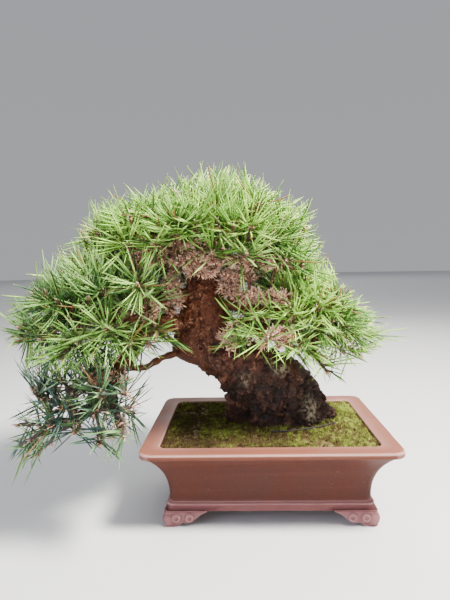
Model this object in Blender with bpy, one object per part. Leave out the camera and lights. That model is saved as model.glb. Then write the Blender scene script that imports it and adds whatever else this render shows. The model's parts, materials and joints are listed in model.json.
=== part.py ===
"""Black pine bonsai in its clay pot: pot, drainage mesh, soil, moss, tie wire, tree and sprays of needles.

Run with blender --background --python part.py, or from Blender's text editor. Metres, +Z up, +X to the right
of the front view and +Y to the back. The pot stands on Z = 0 with its centre on the working origin, and the
whole model is moved at the end so that the middle of its outer box stands on the world origin.
"""

import math
import random

import bmesh
import bpy
from mathutils import Matrix, Vector, noise
from mathutils.bvhtree import BVHTree

COLLECTION = "black_pine_bonsai"
GAP = 0.0003  # between two pieces that touch
SEED = 31

# Pot
RIM_LENGTH = 0.300
RIM_WIDTH = 0.2137
RIM_CORNER = 0.0138
RIM_FACE = 0.021
RIM_BAND = 0.0079
POT_HEIGHT = 0.0985
WAIST_LENGTH = 0.239
WAIST_WIDTH = 0.155
WAIST_CORNER = 0.008
LEAST_CORNER = 0.004
FOOT_HEIGHT = 0.0176
BAND_TOP = 0.027
BAND_OUT = 0.0034
BAND_EDGE = 0.0018
RIM_EDGE = 0.0015
WALL = 0.007
FLOOR = 0.008
LIP_OUT = 0.027
LIP_POWER = 2.6
OUTER_LEVELS = (0.050, 0.064, 0.074, 0.082)
INNER_LEVELS = (0.064, 0.080)
INNER_FOOT = 0.036  # the inner wall's section at this height ends where it meets the floor's slope
SLOPE_RISE = 0.005
SLOPE_INSET = 0.004
CORNER_STEPS = 4

# Cloud feet: at each corner one scalloped plate along the front or back, one along the side and a lobe
FOOT_OUT = 0.0055
FOOT_PLATE = 0.009
FOOT_OUTLINE = (
    (0.0020, 0.0000),
    (0.0120, 0.0000),
    (0.0175, 0.0018),
    (0.0215, 0.0046),
    (0.0265, 0.0036),
    (0.0320, 0.0052),
    (0.0370, 0.0092),
    (0.0425, 0.0140),
    (0.0500, 0.0195),
    (0.0022, 0.0195),
    (0.0005, 0.0125),
    (0.0006, 0.0040),
)
# Curls: place along the plate, height and radius
CURL_PLACES = ((0.0140, 0.0108, 0.0056), (0.0295, 0.0112, 0.0050))
CURL_RISE = 0.0018
CURL_TAPER = 0.55
CURL_SINK = 0.3
CURL_SIDES = 6
# Round lobe at a foot's corner: how far in from both faces, height and half sizes
LOBE_INSET = 0.0050
LOBE_LEVEL = 0.0086
LOBE_SIZE = (0.0077, 0.0077, 0.0083)
LOBE_SIDES = (8, 5)

# Drainage holes and the mesh over them
HOLE_OFF_CENTRE = 0.060
HOLE_RADIUS = 0.011
HOLE_SIDES = 12
MESH_SIDE = 0.032
MESH_THICK = 0.0014
MESH_OPENING = 0.0115
MESH_PITCH = 0.0145

# Soil and moss: one low mound, highest at the foot of the trunk
MOUND_EDGE = 0.0950
MOUND_RISE = 0.0085
MOUND_CENTRE = (0.020, 0.012)
MOUND_REACH = (0.125, 0.085)
MOSS_LEVEL = 0.0945  # the moss follows the inner wall's section at this height
MOSS_THICK = 0.0040
MOSS_INSET = 0.0008
MOSS_RELIEF = 0.0011
CUSHIONS = 55.0  # how often they come, per metre, and how often the smaller lumps on them
LUMPS = 140.0
LUMP_SHARE = 0.6
MOSS_RINGS = 5
UNDER_RINGS = 3

# Trunk stations, from the foot up: left edge, right edge, middle depth and half depth of a section
TRUNK_STATIONS = (
    ((-0.026, 0.060), (0.062, 0.060), 0.016, 0.030),
    ((-0.036, 0.078), (0.080, 0.078), 0.017, 0.038),
    ((-0.050, 0.098), (0.094, 0.098), 0.018, 0.047),
    ((-0.049, 0.118), (0.084, 0.116), 0.016, 0.046),
    ((-0.053, 0.138), (0.073, 0.139), 0.012, 0.044),
    ((-0.067, 0.157), (0.060, 0.160), 0.008, 0.043),
    ((-0.083, 0.172), (0.041, 0.178), 0.004, 0.042),
    ((-0.106, 0.182), (0.010, 0.195), 0.000, 0.040),
    ((-0.121, 0.193), (-0.022, 0.206), -0.002, 0.037),
    ((-0.119, 0.213), (-0.037, 0.220), -0.003, 0.034),
    ((-0.111, 0.240), (-0.043, 0.240), -0.002, 0.030),
    ((-0.103, 0.275), (-0.054, 0.273), 0.000, 0.025),
    ((-0.095, 0.312), (-0.062, 0.310), 0.002, 0.016),
    ((-0.084, 0.345), (-0.062, 0.343), 0.004, 0.011),
    ((-0.066, 0.372), (-0.052, 0.368), 0.004, 0.0065),
    ((-0.049, 0.389), (-0.042, 0.386), 0.003, 0.0035),
)
PLUG_STATIONS = 2  # the lowest stations stand in the soil, smooth
TRUNK_SIDES = 24
TRUNK_STEPS = 2
ROOT_LOBES = 7
ROOT_LOBE_SHARE = 0.10
ROOT_LOBE_TURN = 0.9
ROOT_LOBE_MIDDLE = 0.2
ROOT_TOP = 0.150
ROUGH_START = 0.6  # the bark starts this part of a station below the soil's top
BARK_DEPTH = 0.0045
BARK_GIRTH_SHARE = 0.14
BARK_MIDDLE = 0.6
FURROW_ACROSS = 62.0
FURROW_ALONG = 26.0
FURROW_GAIN = 3.2
CRACK_ACROSS = 40.0
CRACK_ALONG = 95.0
CRACK_SLICE = 7.0
CRACK_GAIN = 3.5
CRACK_SHARE = 0.4
HOLE_CLEARANCE = 0.0007

# Boughs: a radius at the start, one at the end and the route between them
BOUGHS = {
    "left": (0.0110, 0.0042, (
        (-0.086, 0.000, 0.262), (-0.118, -0.018, 0.272), (-0.152, -0.040, 0.266), (-0.190, -0.055, 0.258),
        (-0.232, -0.052, 0.252), (-0.268, -0.040, 0.246),
    )),
    "left_back": (0.0060, 0.0036, (
        (-0.152, -0.040, 0.266), (-0.182, -0.015, 0.272), (-0.212, 0.010, 0.268), (-0.240, 0.018, 0.262),
    )),
    "left_front": (0.0056, 0.0036, (
        (-0.118, -0.018, 0.272), (-0.134, -0.052, 0.262), (-0.160, -0.082, 0.244),
    )),
    "fall": (0.0120, 0.0050, (
        (-0.096, -0.006, 0.226), (-0.128, -0.030, 0.238), (-0.156, -0.056, 0.220), (-0.170, -0.072, 0.192),
        (-0.186, -0.084, 0.164), (-0.206, -0.086, 0.144), (-0.240, -0.080, 0.124), (-0.268, -0.074, 0.112),
    )),
    "fall_back": (0.0060, 0.0036, (
        (-0.186, -0.084, 0.164), (-0.212, -0.068, 0.162), (-0.244, -0.046, 0.158),
    )),
    "fall_front": (0.0056, 0.0034, (
        (-0.182, -0.082, 0.168), (-0.174, -0.096, 0.146), (-0.166, -0.106, 0.128),
    )),
    "thin": (0.0042, 0.0034, (
        (-0.106, -0.010, 0.196), (-0.130, -0.034, 0.192), (-0.150, -0.056, 0.185), (-0.168, -0.072, 0.190),
    )),
    "right": (0.0075, 0.0036, (
        (-0.066, -0.006, 0.252), (-0.040, -0.022, 0.257), (-0.012, -0.030, 0.252), (0.026, -0.026, 0.252),
        (0.062, -0.012, 0.258), (0.094, 0.004, 0.260),
    )),
    "right_low": (0.0085, 0.0040, (
        (-0.066, 0.000, 0.224), (-0.030, -0.010, 0.232), (0.010, -0.020, 0.224), (0.048, -0.018, 0.214),
        (0.084, -0.010, 0.210),
    )),
    "right_front": (0.0056, 0.0036, (
        (-0.030, -0.010, 0.232), (-0.016, -0.038, 0.230), (-0.004, -0.062, 0.222),
    )),
    "right_back": (0.0060, 0.0036, (
        (0.010, -0.020, 0.224), (0.030, 0.018, 0.232), (0.056, 0.046, 0.234),
    )),
    "crown_left": (0.0085, 0.0040, (
        (-0.080, 0.000, 0.312), (-0.112, -0.010, 0.330), (-0.146, -0.016, 0.334), (-0.182, -0.016, 0.330),
        (-0.206, -0.012, 0.320),
    )),
    "crown_right": (0.0080, 0.0038, (
        (-0.074, 0.002, 0.322), (-0.044, -0.004, 0.342), (-0.010, -0.006, 0.344), (0.022, -0.004, 0.334),
    )),
    "crown_front": (0.0066, 0.0036, (
        (-0.078, -0.002, 0.304), (-0.066, -0.026, 0.318), (-0.048, -0.050, 0.318),
    )),
    "crown_front_left": (0.0060, 0.0036, (
        (-0.112, -0.010, 0.330), (-0.126, -0.036, 0.328), (-0.142, -0.058, 0.322),
    )),
    "crown_back": (0.0070, 0.0036, (
        (-0.080, 0.004, 0.298), (-0.074, 0.032, 0.316), (-0.058, 0.056, 0.322),
    )),
    "crown_back_left": (0.0060, 0.0036, (
        (-0.112, -0.010, 0.330), (-0.128, 0.020, 0.334), (-0.148, 0.044, 0.330),
    )),
}
BOUGH_SIDES = 6
BOUGH_STEPS = 1.5
BOUGH_ROUGHNESS = 0.0009
KNOBS = 110.0

# Pads of foliage: middle, half sizes, number of shoots, lowest height share, how far shoots turn up, boughs
PADS = {
    "crown": (
        (-0.084, 0.002, 0.320), (0.130, 0.076, 0.060), 20, -0.15, 0.40,
        (
            "crown_left", "crown_right", "crown_front", "crown_front_left", "crown_back", "crown_back_left",
            "trunk",
        ),
    ),
    "left": (
        (-0.210, -0.044, 0.243), (0.078, 0.060, 0.038), 9, -0.60, 0.35,
        ("left", "left_back", "left_front"),
    ),
    "fall": (
        (-0.224, -0.072, 0.136), (0.062, 0.034, 0.030), 5, -0.35, -0.05,
        ("fall", "fall_back", "fall_front"),
    ),
    "right": (
        (0.060, 0.006, 0.234), (0.052, 0.050, 0.028), 6, -0.30, 0.35,
        ("right", "right_low", "right_front", "right_back"),
    ),
}
# Shoots that the photograph shows face on: place, where they point and the boughs that can carry them
SPOTS = (
    ((-0.020, -0.064, 0.340), (0.15, -0.85, 0.45), ("crown_front", "crown_right")),
    ((-0.140, -0.086, 0.282), (-0.05, -0.90, 0.35), ("left_front",)),
    ((-0.176, -0.090, 0.236), (-0.10, -0.85, 0.25), ("left_front", "left")),
    ((-0.163, -0.098, 0.166), (0.35, -0.75, 0.20), ("fall",)),
    ((-0.224, -0.092, 0.148), (-0.30, -0.80, 0.25), ("fall",)),
    ((-0.160, -0.114, 0.138), (0.15, -0.65, -0.35), ("fall_front",)),
    ((-0.274, -0.081, 0.111), (-0.80, -0.30, -0.35), ("fall",)),
    ((0.000, -0.078, 0.222), (-0.05, -0.90, 0.25), ("right_front",)),
    ((0.110, -0.012, 0.212), (0.85, -0.35, 0.15), ("right_low",)),
    ((0.066, -0.034, 0.186), (0.35, -0.65, -0.55), ("right_low",)),
    ((-0.034, -0.046, 0.232), (-0.10, -0.80, 0.35), ("right_front", "right_low")),
)
PLACES_DRAWN = 60
SHOOT_STRAY = 0.15
SHOOT_CLEAR = 0.0012
SHOOT_NEAR = 0.075
SHOOT_LENGTH = 0.019
SHOOT_RADIUS = 0.0026
SHOOT_TIP_RADIUS = 0.0023
SHOOT_SIDES = 5
TWIG_ROOT_RADIUS = 0.0036
TWIG_STEPS = 3
TWIG_SIDES = 4
TWIG_STRAIGHT = 0.8
TWIG_NEAR = 0.3  # a twig's first bend, as a share of its reach, and its last one before the shoot
TWIG_BEND = 0.45
REACH_COST = 2.2
STRAIGHT_GAIN = 1.2

# Needles
NEEDLES = 19
NEEDLE_LENGTH = (0.040, 0.050)
NEEDLE_RADIUS = 0.0011
NEEDLE_LEAN = (math.radians(86), math.radians(32))
ROOT_SPAN = (0.14, 0.86)
NEEDLE_TRIES = 60
NEEDLE_WOBBLE = 0.22
WOBBLE_GROWTH = 0.010
NEEDLE_CLEAR = 0.0004
NEEDLE_CHECKS = 14
NEEDLE_REACH = 0.12
NEEDLE_TURN = 2 * 2 * math.pi / SHOOT_SIDES

# Tie wire: middle line over the moss
WIRE_RADIUS = 0.0011
WIRE_ROUTE = ((0.004, -0.0415), (0.026, -0.0405), (0.048, -0.0355), (0.070, -0.0260), (0.090, -0.0120))
WIRE_DROP = 0.0040
WIRE_SIDES = 5

UP = Vector((0, 0, 1))


def clear_scene():
    for obj in list(bpy.data.objects):
        bpy.data.objects.remove(obj, do_unlink=True)


def new_collection(name, parent):
    collection = bpy.data.collections.new(name)
    parent.children.link(collection)
    return collection


def new_material(name, colour, roughness, metallic=0.0):
    material = bpy.data.materials.new(name)
    material.use_nodes = True
    shader = material.node_tree.nodes["Principled BSDF"]
    shader.inputs["Base Color"].default_value = (*colour, 1.0)
    shader.inputs["Roughness"].default_value = roughness
    shader.inputs["Metallic"].default_value = metallic
    material.diffuse_color = (*colour, 1.0)
    return material


def new_object(name, bm, collection, material=None):
    """Puts a bmesh into a new object, with its faces turned outward."""
    bmesh.ops.recalc_face_normals(bm, faces=bm.faces)
    mesh = bpy.data.meshes.new(name)
    bm.to_mesh(mesh)
    bm.free()
    obj = bpy.data.objects.new(name, mesh)
    collection.objects.link(obj)
    if material:
        mesh.materials.append(material)
    return obj


def apply_boolean(target, operation, operand, solver="EXACT"):
    """Applies one Boolean of an object, or of every object in a collection."""
    modifier = target.modifiers.new(operation.title(), "BOOLEAN")
    modifier.operation = operation
    modifier.solver = solver
    if isinstance(operand, bpy.types.Collection):
        modifier.operand_type = "COLLECTION"
        modifier.collection = operand
    else:
        modifier.object = operand
    graph = bpy.context.evaluated_depsgraph_get()
    mesh = bpy.data.meshes.new_from_object(target.evaluated_get(graph))
    material = target.data.materials[0] if target.data.materials else None
    target.modifiers.clear()
    target.data = mesh
    mesh.materials.clear()
    if material:
        mesh.materials.append(material)


def empty_collection(collection):
    for obj in list(collection.objects):
        bpy.data.objects.remove(obj, do_unlink=True)


def loft(bm, rings, split=False):
    """Skins rings of equal point counts and closes both ends. Split cuts every four-sided face in two."""
    loops = [[bm.verts.new(point) for point in ring] for ring in rings]
    for lower, upper in zip(loops, loops[1:]):
        for i in range(len(lower)):
            j = (i + 1) % len(lower)
            bm.faces.new((lower[i], lower[j], upper[j], upper[i]))
    bm.faces.new(list(reversed(loops[0])))
    bm.faces.new(loops[-1])
    wide = [face for face in bm.faces if split or len(face.verts) > 4]
    bmesh.ops.triangulate(bm, faces=wide, quad_method="FIXED")


def spline(points, at):
    """A point on the smooth Catmull-Rom curve through the given points, at counted in points."""
    last = len(points) - 1
    i = min(int(at), last - 1)
    share = at - i
    before, start, end, after = (points[min(max(k, 0), last)] for k in (i - 1, i, i + 1, i + 2))
    return (
        start
        + (end - before) * (0.5 * share)
        + (before * 2 - start * 5 + end * 4 - after) * (0.5 * share ** 2)
        + (start * 3 - before - end * 3 + after) * (0.5 * share ** 3)
    )


# Pot

def rounded_rectangle(half_x, half_y, corner, z, steps=CORNER_STEPS):
    """One level ring with rounded corners, counter-clockwise from the +X side."""
    ring = []
    for quarter, (sign_x, sign_y) in enumerate(((1, 1), (-1, 1), (-1, -1), (1, -1))):
        for step in range(steps + 1):
            angle = math.pi / 2 * (quarter + step / steps)
            x = sign_x * (half_x - corner) + corner * math.cos(angle)
            y = sign_y * (half_y - corner) + corner * math.sin(angle)
            ring.append(Vector((x, y, z)))
    return ring


def pot_ring(out, z):
    """A ring of the pot that stands out from the waist by the given amount."""
    rim_out = (RIM_LENGTH - WAIST_LENGTH) / 2
    corner = WAIST_CORNER + (RIM_CORNER - WAIST_CORNER) * max(0.0, out) / rim_out
    return rounded_rectangle(WAIST_LENGTH / 2 + out, WAIST_WIDTH / 2 + out, max(LEAST_CORNER, corner), z)


def lip_out(z):
    """How far the flared wall stands out from the waist at a height."""
    share = (z - BAND_TOP) / (POT_HEIGHT - RIM_BAND - BAND_TOP)
    return LIP_OUT * max(0.0, share) ** LIP_POWER


def inner_out(z):
    """Where the inner wall stands at a height: a wall's thickness inside the flare, up to the rim's opening."""
    opening = (RIM_LENGTH - WAIST_LENGTH) / 2 - RIM_FACE
    return min(opening, lip_out(z) - WALL)


def floor_top():
    return FOOT_HEIGHT + FLOOR


def pot_profile():
    rim_out = (RIM_LENGTH - WAIST_LENGTH) / 2
    rim_low = POT_HEIGHT - RIM_BAND
    rim_in = inner_out(POT_HEIGHT)
    profile = [
        (BAND_OUT - BAND_EDGE, FOOT_HEIGHT),
        (BAND_OUT, FOOT_HEIGHT + BAND_EDGE),
        (BAND_OUT, BAND_TOP - BAND_EDGE),
        (BAND_OUT - BAND_EDGE, BAND_TOP),
        (0.0, BAND_TOP + BAND_EDGE / 2),
    ]
    profile += [(lip_out(z), z) for z in OUTER_LEVELS]
    profile += [
        (lip_out(rim_low), rim_low),
        (rim_out - RIM_EDGE, rim_low),
        (rim_out, rim_low + RIM_EDGE),
        (rim_out, POT_HEIGHT - RIM_EDGE),
        (rim_out - RIM_EDGE, POT_HEIGHT),
        (rim_in + RIM_EDGE, POT_HEIGHT),
        (rim_in, POT_HEIGHT - RIM_EDGE),
    ]
    profile += [(inner_out(z), z) for z in reversed(INNER_LEVELS)]
    profile += [(inner_out(INNER_FOOT), floor_top() + SLOPE_RISE), (-WALL - SLOPE_INSET, floor_top())]
    return profile


def foot_plate(name, collection):
    """One scalloped plate with two raised curls, in the XZ plane, from the pot's corner along +X."""
    outline = bpy.data.curves.new(name, "CURVE")
    outline.dimensions = "2D"
    outline.fill_mode = "BOTH"
    outline.extrude = FOOT_PLATE / 2
    line = outline.splines.new("POLY")
    line.points.add(len(FOOT_OUTLINE) - 1)
    for point, (x, z) in zip(line.points, FOOT_OUTLINE):
        point.co = (x, z, 0, 1)
    line.use_cyclic_u = True
    holder = bpy.data.objects.new(name + "_outline", outline)
    collection.objects.link(holder)
    graph = bpy.context.evaluated_depsgraph_get()
    mesh = bpy.data.meshes.new_from_object(holder.evaluated_get(graph))
    bpy.data.objects.remove(holder, do_unlink=True)
    bm = bmesh.new()
    bm.from_mesh(mesh)
    bpy.data.meshes.remove(mesh)
    bmesh.ops.remove_doubles(bm, verts=bm.verts, dist=0.00001)
    bmesh.ops.rotate(bm, verts=bm.verts, matrix=Matrix.Rotation(math.pi / 2, 3, "X"))
    plate = new_object(name, bm, collection)
    curls = new_collection(name + "_curls", collection)
    for number, (x, z, radius) in enumerate(CURL_PLACES):
        curl = bmesh.new()
        bmesh.ops.create_cone(
            curl, cap_ends=True, segments=CURL_SIDES, radius1=radius, radius2=radius * CURL_TAPER,
            depth=2 * CURL_RISE,
        )
        bmesh.ops.rotate(curl, verts=curl.verts, matrix=Matrix.Rotation(math.pi / 2, 3, "X"))
        bmesh.ops.translate(curl, verts=curl.verts, vec=(x, -FOOT_PLATE / 2 - CURL_SINK * CURL_RISE, z))
        new_object(f"{name}_curl_{number}", curl, curls)
    apply_boolean(plate, "UNION", curls)
    empty_collection(curls)
    return plate


def placed_plate(mesh, at, turn, mirrored, collection):
    """A copy of the plate at a corner, turned about Z, and mirrored along its length where asked."""
    bm = bmesh.new()
    bm.from_mesh(mesh)
    if mirrored:
        bmesh.ops.scale(bm, verts=bm.verts, vec=(-1, 1, 1))
    bmesh.ops.rotate(bm, verts=bm.verts, matrix=Matrix.Rotation(turn, 3, "Z"))
    bmesh.ops.translate(bm, verts=bm.verts, vec=at)
    new_object("foot_piece", bm, collection)


def add_feet(pot, helpers):
    """A foot at each corner: two plates at right angles, and the lobe between them."""
    plate = foot_plate("foot_plate", helpers)
    feet = new_collection("feet", helpers)
    half_x = WAIST_LENGTH / 2 + FOOT_OUT
    half_y = WAIST_WIDTH / 2 + FOOT_OUT
    inset = FOOT_PLATE / 2
    for side in (-1, 1):
        for face in (-1, 1):
            front_turn = 0.0 if face < 0 else math.pi
            at = (side * half_x, face * (half_y - inset), 0)
            placed_plate(plate.data, at, front_turn, (side * face) < 0, feet)
            side_turn = side * math.pi / 2
            at = (side * (half_x - inset), face * half_y, 0)
            placed_plate(plate.data, at, side_turn, (side * face) > 0, feet)
            lobe = bmesh.new()
            at = (side * (half_x - LOBE_INSET), face * (half_y - LOBE_INSET), LOBE_LEVEL)
            bmesh.ops.create_uvsphere(
                lobe, u_segments=LOBE_SIDES[0], v_segments=LOBE_SIDES[1], radius=1,
                matrix=Matrix.Translation(at) @ Matrix.Diagonal((*LOBE_SIZE, 1)),
            )
            new_object("lobe", lobe, feet)
    apply_boolean(pot, "UNION", feet)
    empty_collection(feet)
    bpy.data.objects.remove(plate, do_unlink=True)


def hole_centres():
    return [(side * HOLE_OFF_CENTRE, 0.0) for side in (-1, 1)]


def make_pot(collection, helpers, material):
    bm = bmesh.new()
    loft(bm, [pot_ring(out, z) for out, z in pot_profile()])
    pot = new_object("pot", bm, collection, material)
    add_feet(pot, helpers)
    drills = new_collection("drills", helpers)
    for x, y in hole_centres():
        drill = bmesh.new()
        bmesh.ops.create_cone(
            drill, cap_ends=True, segments=HOLE_SIDES, radius1=HOLE_RADIUS, radius2=HOLE_RADIUS,
            depth=4 * FLOOR,
        )
        bmesh.ops.translate(drill, verts=drill.verts, vec=(x, y, FOOT_HEIGHT + FLOOR / 2))
        new_object("drill", drill, drills)
    apply_boolean(pot, "DIFFERENCE", drills)
    empty_collection(drills)
    return pot


# Drainage mesh

def box(bm, size, centre):
    matrix = Matrix.Translation(centre) @ Matrix.Diagonal((*size, 1.0))
    bmesh.ops.create_cube(bm, size=1.0, matrix=matrix)


def make_drain_mesh(name, x, y, collection, helpers, material):
    z = floor_top() + GAP + MESH_THICK / 2
    sheet = bmesh.new()
    box(sheet, (MESH_SIDE, MESH_SIDE, MESH_THICK), (x, y, z))
    obj = new_object(name, sheet, collection, material)
    punches = new_collection(name + "_punches", helpers)
    for column in (-0.5, 0.5):
        for row in (-0.5, 0.5):
            punch = bmesh.new()
            centre = (x + column * MESH_PITCH, y + row * MESH_PITCH, z)
            box(punch, (MESH_OPENING, MESH_OPENING, 4 * MESH_THICK), centre)
            new_object("punch", punch, punches)
    apply_boolean(obj, "DIFFERENCE", punches)
    empty_collection(punches)
    return obj


# Soil and moss

def mound(x, y):
    """Height of the moss over the pot's floor line, before its fine relief."""
    away = math.hypot((x - MOUND_CENTRE[0]) / MOUND_REACH[0], (y - MOUND_CENTRE[1]) / MOUND_REACH[1])
    return MOUND_EDGE + MOUND_RISE * (0.5 + 0.5 * math.cos(math.pi * min(1.0, away)))


def moss_relief(x, y):
    """Small cushions and hollows."""
    cushion = noise.noise(Vector((x, y, 0)) * CUSHIONS)
    lump = noise.noise(Vector((x, y, 0)) * LUMPS)
    return MOSS_RELIEF * (cushion + LUMP_SHARE * lump)


def mound_rings(inset, height, rings):
    """Rings over the mound, from its edge to its middle, with the given height rule."""
    out = inner_out(MOSS_LEVEL) - inset
    found = []
    for step in range(rings):
        share = 1.0 - step / rings
        ring = pot_ring(out, 0.0)
        centre = Vector((*MOUND_CENTRE, 0)) * (1 - share)
        points = [centre + point * share for point in ring]
        found.append([Vector((p.x, p.y, height(p.x, p.y))) for p in points])
    return found


def trunk_cutter(name, collection):
    """The foot of the trunk, grown by the clearance, to cut its hole."""
    bm = bmesh.new()
    loft(bm, trunk_rings(grow=HOLE_CLEARANCE, top=ROOT_TOP, lower=GAP), split=True)
    return new_object(name, bm, collection)


def make_soil(collection, helpers, material):
    def soil_top(x, y):
        return mound(x, y) - MOSS_THICK - GAP

    bm = bmesh.new()
    base = floor_top() + GAP
    wall = [(-WALL - SLOPE_INSET - GAP, base), (inner_out(INNER_FOOT) - GAP, base + SLOPE_RISE)]
    wall += [(inner_out(z) - GAP, z) for z in INNER_LEVELS]
    rings = [pot_ring(out, z) for out, z in wall]
    rings += mound_rings(MOSS_INSET, soil_top, UNDER_RINGS)
    loft(bm, rings, split=True)
    soil = new_object("soil", bm, collection, material)
    apply_boolean(soil, "DIFFERENCE", trunk_cutter("soil_cutter", helpers))
    pockets = new_collection("pockets", helpers)
    for x, y in hole_centres():
        pocket = bmesh.new()
        side = MESH_SIDE + 2 * GAP
        deep = MESH_THICK + GAP
        box(pocket, (side, side, 2 * deep), (x, y, base))
        new_object("pocket", pocket, pockets)
    apply_boolean(soil, "DIFFERENCE", pockets)
    empty_collection(pockets)
    return soil


def make_moss(collection, helpers, material):
    def moss_top(x, y):
        return mound(x, y) + moss_relief(x, y)

    def moss_under(x, y):
        return mound(x, y) - MOSS_THICK

    bm = bmesh.new()
    under = mound_rings(MOSS_INSET, moss_under, UNDER_RINGS)
    top = mound_rings(MOSS_INSET, moss_top, MOSS_RINGS)
    loft(bm, list(reversed(top)) + under, split=True)
    moss = new_object("moss", bm, collection, material)
    apply_boolean(moss, "DIFFERENCE", trunk_cutter("moss_cutter", helpers))
    return moss


def make_tie_wire(moss, collection, material):
    """A wire over the moss, let down until its nearest point rests."""
    spine = [Vector((x, y, mound(x, y) + WIRE_DROP)) for x, y in WIRE_ROUTE]
    route = [spline(spine, k / 2) for k in range(2 * len(spine) - 1)]
    surface = tree_of(moss)
    middles = [a.lerp(b, 0.5) for a, b in zip(route, route[1:])]
    room = min(surface.find_nearest(point)[3] for point in route + middles) - WIRE_RADIUS - GAP
    bm = tube([point - UP * room for point in route], WIRE_RADIUS, WIRE_RADIUS, WIRE_SIDES)
    return new_object("tie_wire", bm, collection, material)


# Tree

def bark(point, girth):
    """Height of the bark over the wood: plates between furrows, longer along the trunk than across it."""
    x, y, z = point
    furrow = abs(noise.noise(Vector((x * FURROW_ACROSS, y * FURROW_ACROSS, z * FURROW_ALONG))))
    crack = abs(noise.noise(Vector((x * CRACK_ACROSS, y * CRACK_ACROSS + CRACK_SLICE, z * CRACK_ALONG))))
    plates = min(1.0, furrow * FURROW_GAIN) - BARK_MIDDLE
    steps = min(1.0, crack * CRACK_GAIN) - BARK_MIDDLE
    return min(BARK_DEPTH, BARK_GIRTH_SHARE * girth) * (plates + CRACK_SHARE * steps)


def trunk_rings(grow=0.0, top=1.0, lower=0.0):
    """Sections of the trunk, as rings around a line that leans and turns with it."""
    edges = [
        (Vector((left[0], mid, left[1])), Vector((right[0], mid, right[1])), Vector((0, half, 0)))
        for left, right, mid, half in TRUNK_STATIONS
    ]
    columns = [list(column) for column in zip(*edges)]
    steps = (len(edges) - 1) * TRUNK_STEPS
    rings = []
    for step in range(steps + 1):
        at = step * (len(edges) - 1) / steps
        left, right, depth = (spline(column, at) for column in columns)
        centre = (left + right) / 2
        if centre.z > top:
            break
        across = (right - left) / 2
        rough = min(1.0, max(0.0, at - PLUG_STATIONS + ROUGH_START))
        below = (ROOT_TOP - centre.z) / (ROOT_TOP - TRUNK_STATIONS[PLUG_STATIONS][0][1])
        spread = ROOT_LOBE_SHARE * rough * max(0.0, below)
        ring = []
        for side in range(TRUNK_SIDES):
            angle = 2 * math.pi * side / TRUNK_SIDES
            reach = across * math.cos(angle) + depth * math.sin(angle)
            lobes = 1 + spread * (math.cos(ROOT_LOBES * angle + ROOT_LOBE_TURN) - ROOT_LOBE_MIDDLE)
            place = centre + reach * lobes
            lift = rough * bark(place, reach.length) + grow
            ring.append(place + reach.normalized() * lift)
        rings.append(ring)
    if lower:
        rings[0] = [point - UP * lower for point in rings[0]]
    return rings


def frame_along(points, finish=None):
    """A side and an upward direction at each point of a route, carried along it without twist."""
    frames = []
    side = None
    last = len(points) - 1
    for i in range(last + 1):
        ahead = (points[min(i + 1, last)] - points[max(i - 1, 0)]).normalized()
        if finish and i == last:
            ahead = finish
        if side is None:
            side = ahead.cross(Vector((0.3, 0.2, 1.0))).normalized()
        side = (side - ahead * side.dot(ahead)).normalized()
        frames.append((side, ahead.cross(side)))
    return frames


def tube(points, start_radius, end_radius, sides, roughness=0.0, finish=None):
    """A closed tapering tube along a route, knobbly where it is rough. Its last end faces finish."""
    rings = []
    last = len(points) - 1
    for i, (point, (side, rise)) in enumerate(zip(points, frame_along(points, finish))):
        radius = start_radius + (end_radius - start_radius) * i / last
        ring = []
        for k in range(sides):
            angle = 2 * math.pi * k / sides
            reach = side * math.cos(angle) + rise * math.sin(angle)
            lift = roughness * noise.noise((point + reach * radius) * KNOBS) * 2
            ring.append(point + reach * (radius + lift))
        rings.append(ring)
    bm = bmesh.new()
    loft(bm, rings)
    return bm


def bough_points(name):
    start, end, route = BOUGHS[name]
    route = [Vector(point) for point in route]
    last = len(route) - 1
    count = round(BOUGH_STEPS * last)
    return [spline(route, last * k / count) for k in range(count + 1)]


def station_middles(stations):
    return [Vector((a[0] + b[0], 2 * middle, a[1] + b[1])) / 2 for a, b, middle, _ in stations]


def trunk_axis():
    """The trunk's middle line above the crown's lowest bough."""
    middles = station_middles(TRUNK_STATIONS[-4:])
    return [spline(middles, k / 3) for k in range(3 * (len(middles) - 1) + 1)]


def carrier_points(names):
    """Every place on the named boughs where a twig may start."""
    found = []
    for name in names:
        found += trunk_axis() if name == "trunk" else bough_points(name)[1:]
    return found


def pad_place(middle, sizes, lowest, draw):
    """A place drawn on a pad's rounded outside, above its lowest share, and the way outward there."""
    height = draw.uniform(lowest, 1.0)
    angle = draw.uniform(0, 2 * math.pi)
    level = math.sqrt(1 - height ** 2)
    ball = Vector((level * math.cos(angle), level * math.sin(angle), height))
    place = middle + Vector(share * size for share, size in zip(ball, sizes))
    return place, Vector(share / size for share, size in zip(ball, sizes)).normalized()


def pieces(points, start_radius, end_radius):
    """A tapering route as straight pieces, each with its widest radius."""
    last = len(points) - 1
    radii = [start_radius + (end_radius - start_radius) * i / last for i in range(last + 1)]
    return list(zip(points, points[1:], radii))


def wood_pieces():
    """The trunk and the boughs as straight pieces."""
    middles = station_middles(TRUNK_STATIONS)
    found = [(a, b, half) for a, b, (_, _, _, half) in zip(middles, middles[1:], TRUNK_STATIONS)]
    for name, (start, end, _) in BOUGHS.items():
        found += pieces(bough_points(name), start, end)
    return found


def keeps_clear(line, others):
    """Whether a straight piece keeps its distance from the others."""
    start, end, radius = line
    near = [other for other in others if (other[0] - start).length < SHOOT_NEAR]
    return all(segment_gap(start, end, a, b) > radius + width + SHOOT_CLEAR for a, b, width in near)


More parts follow.
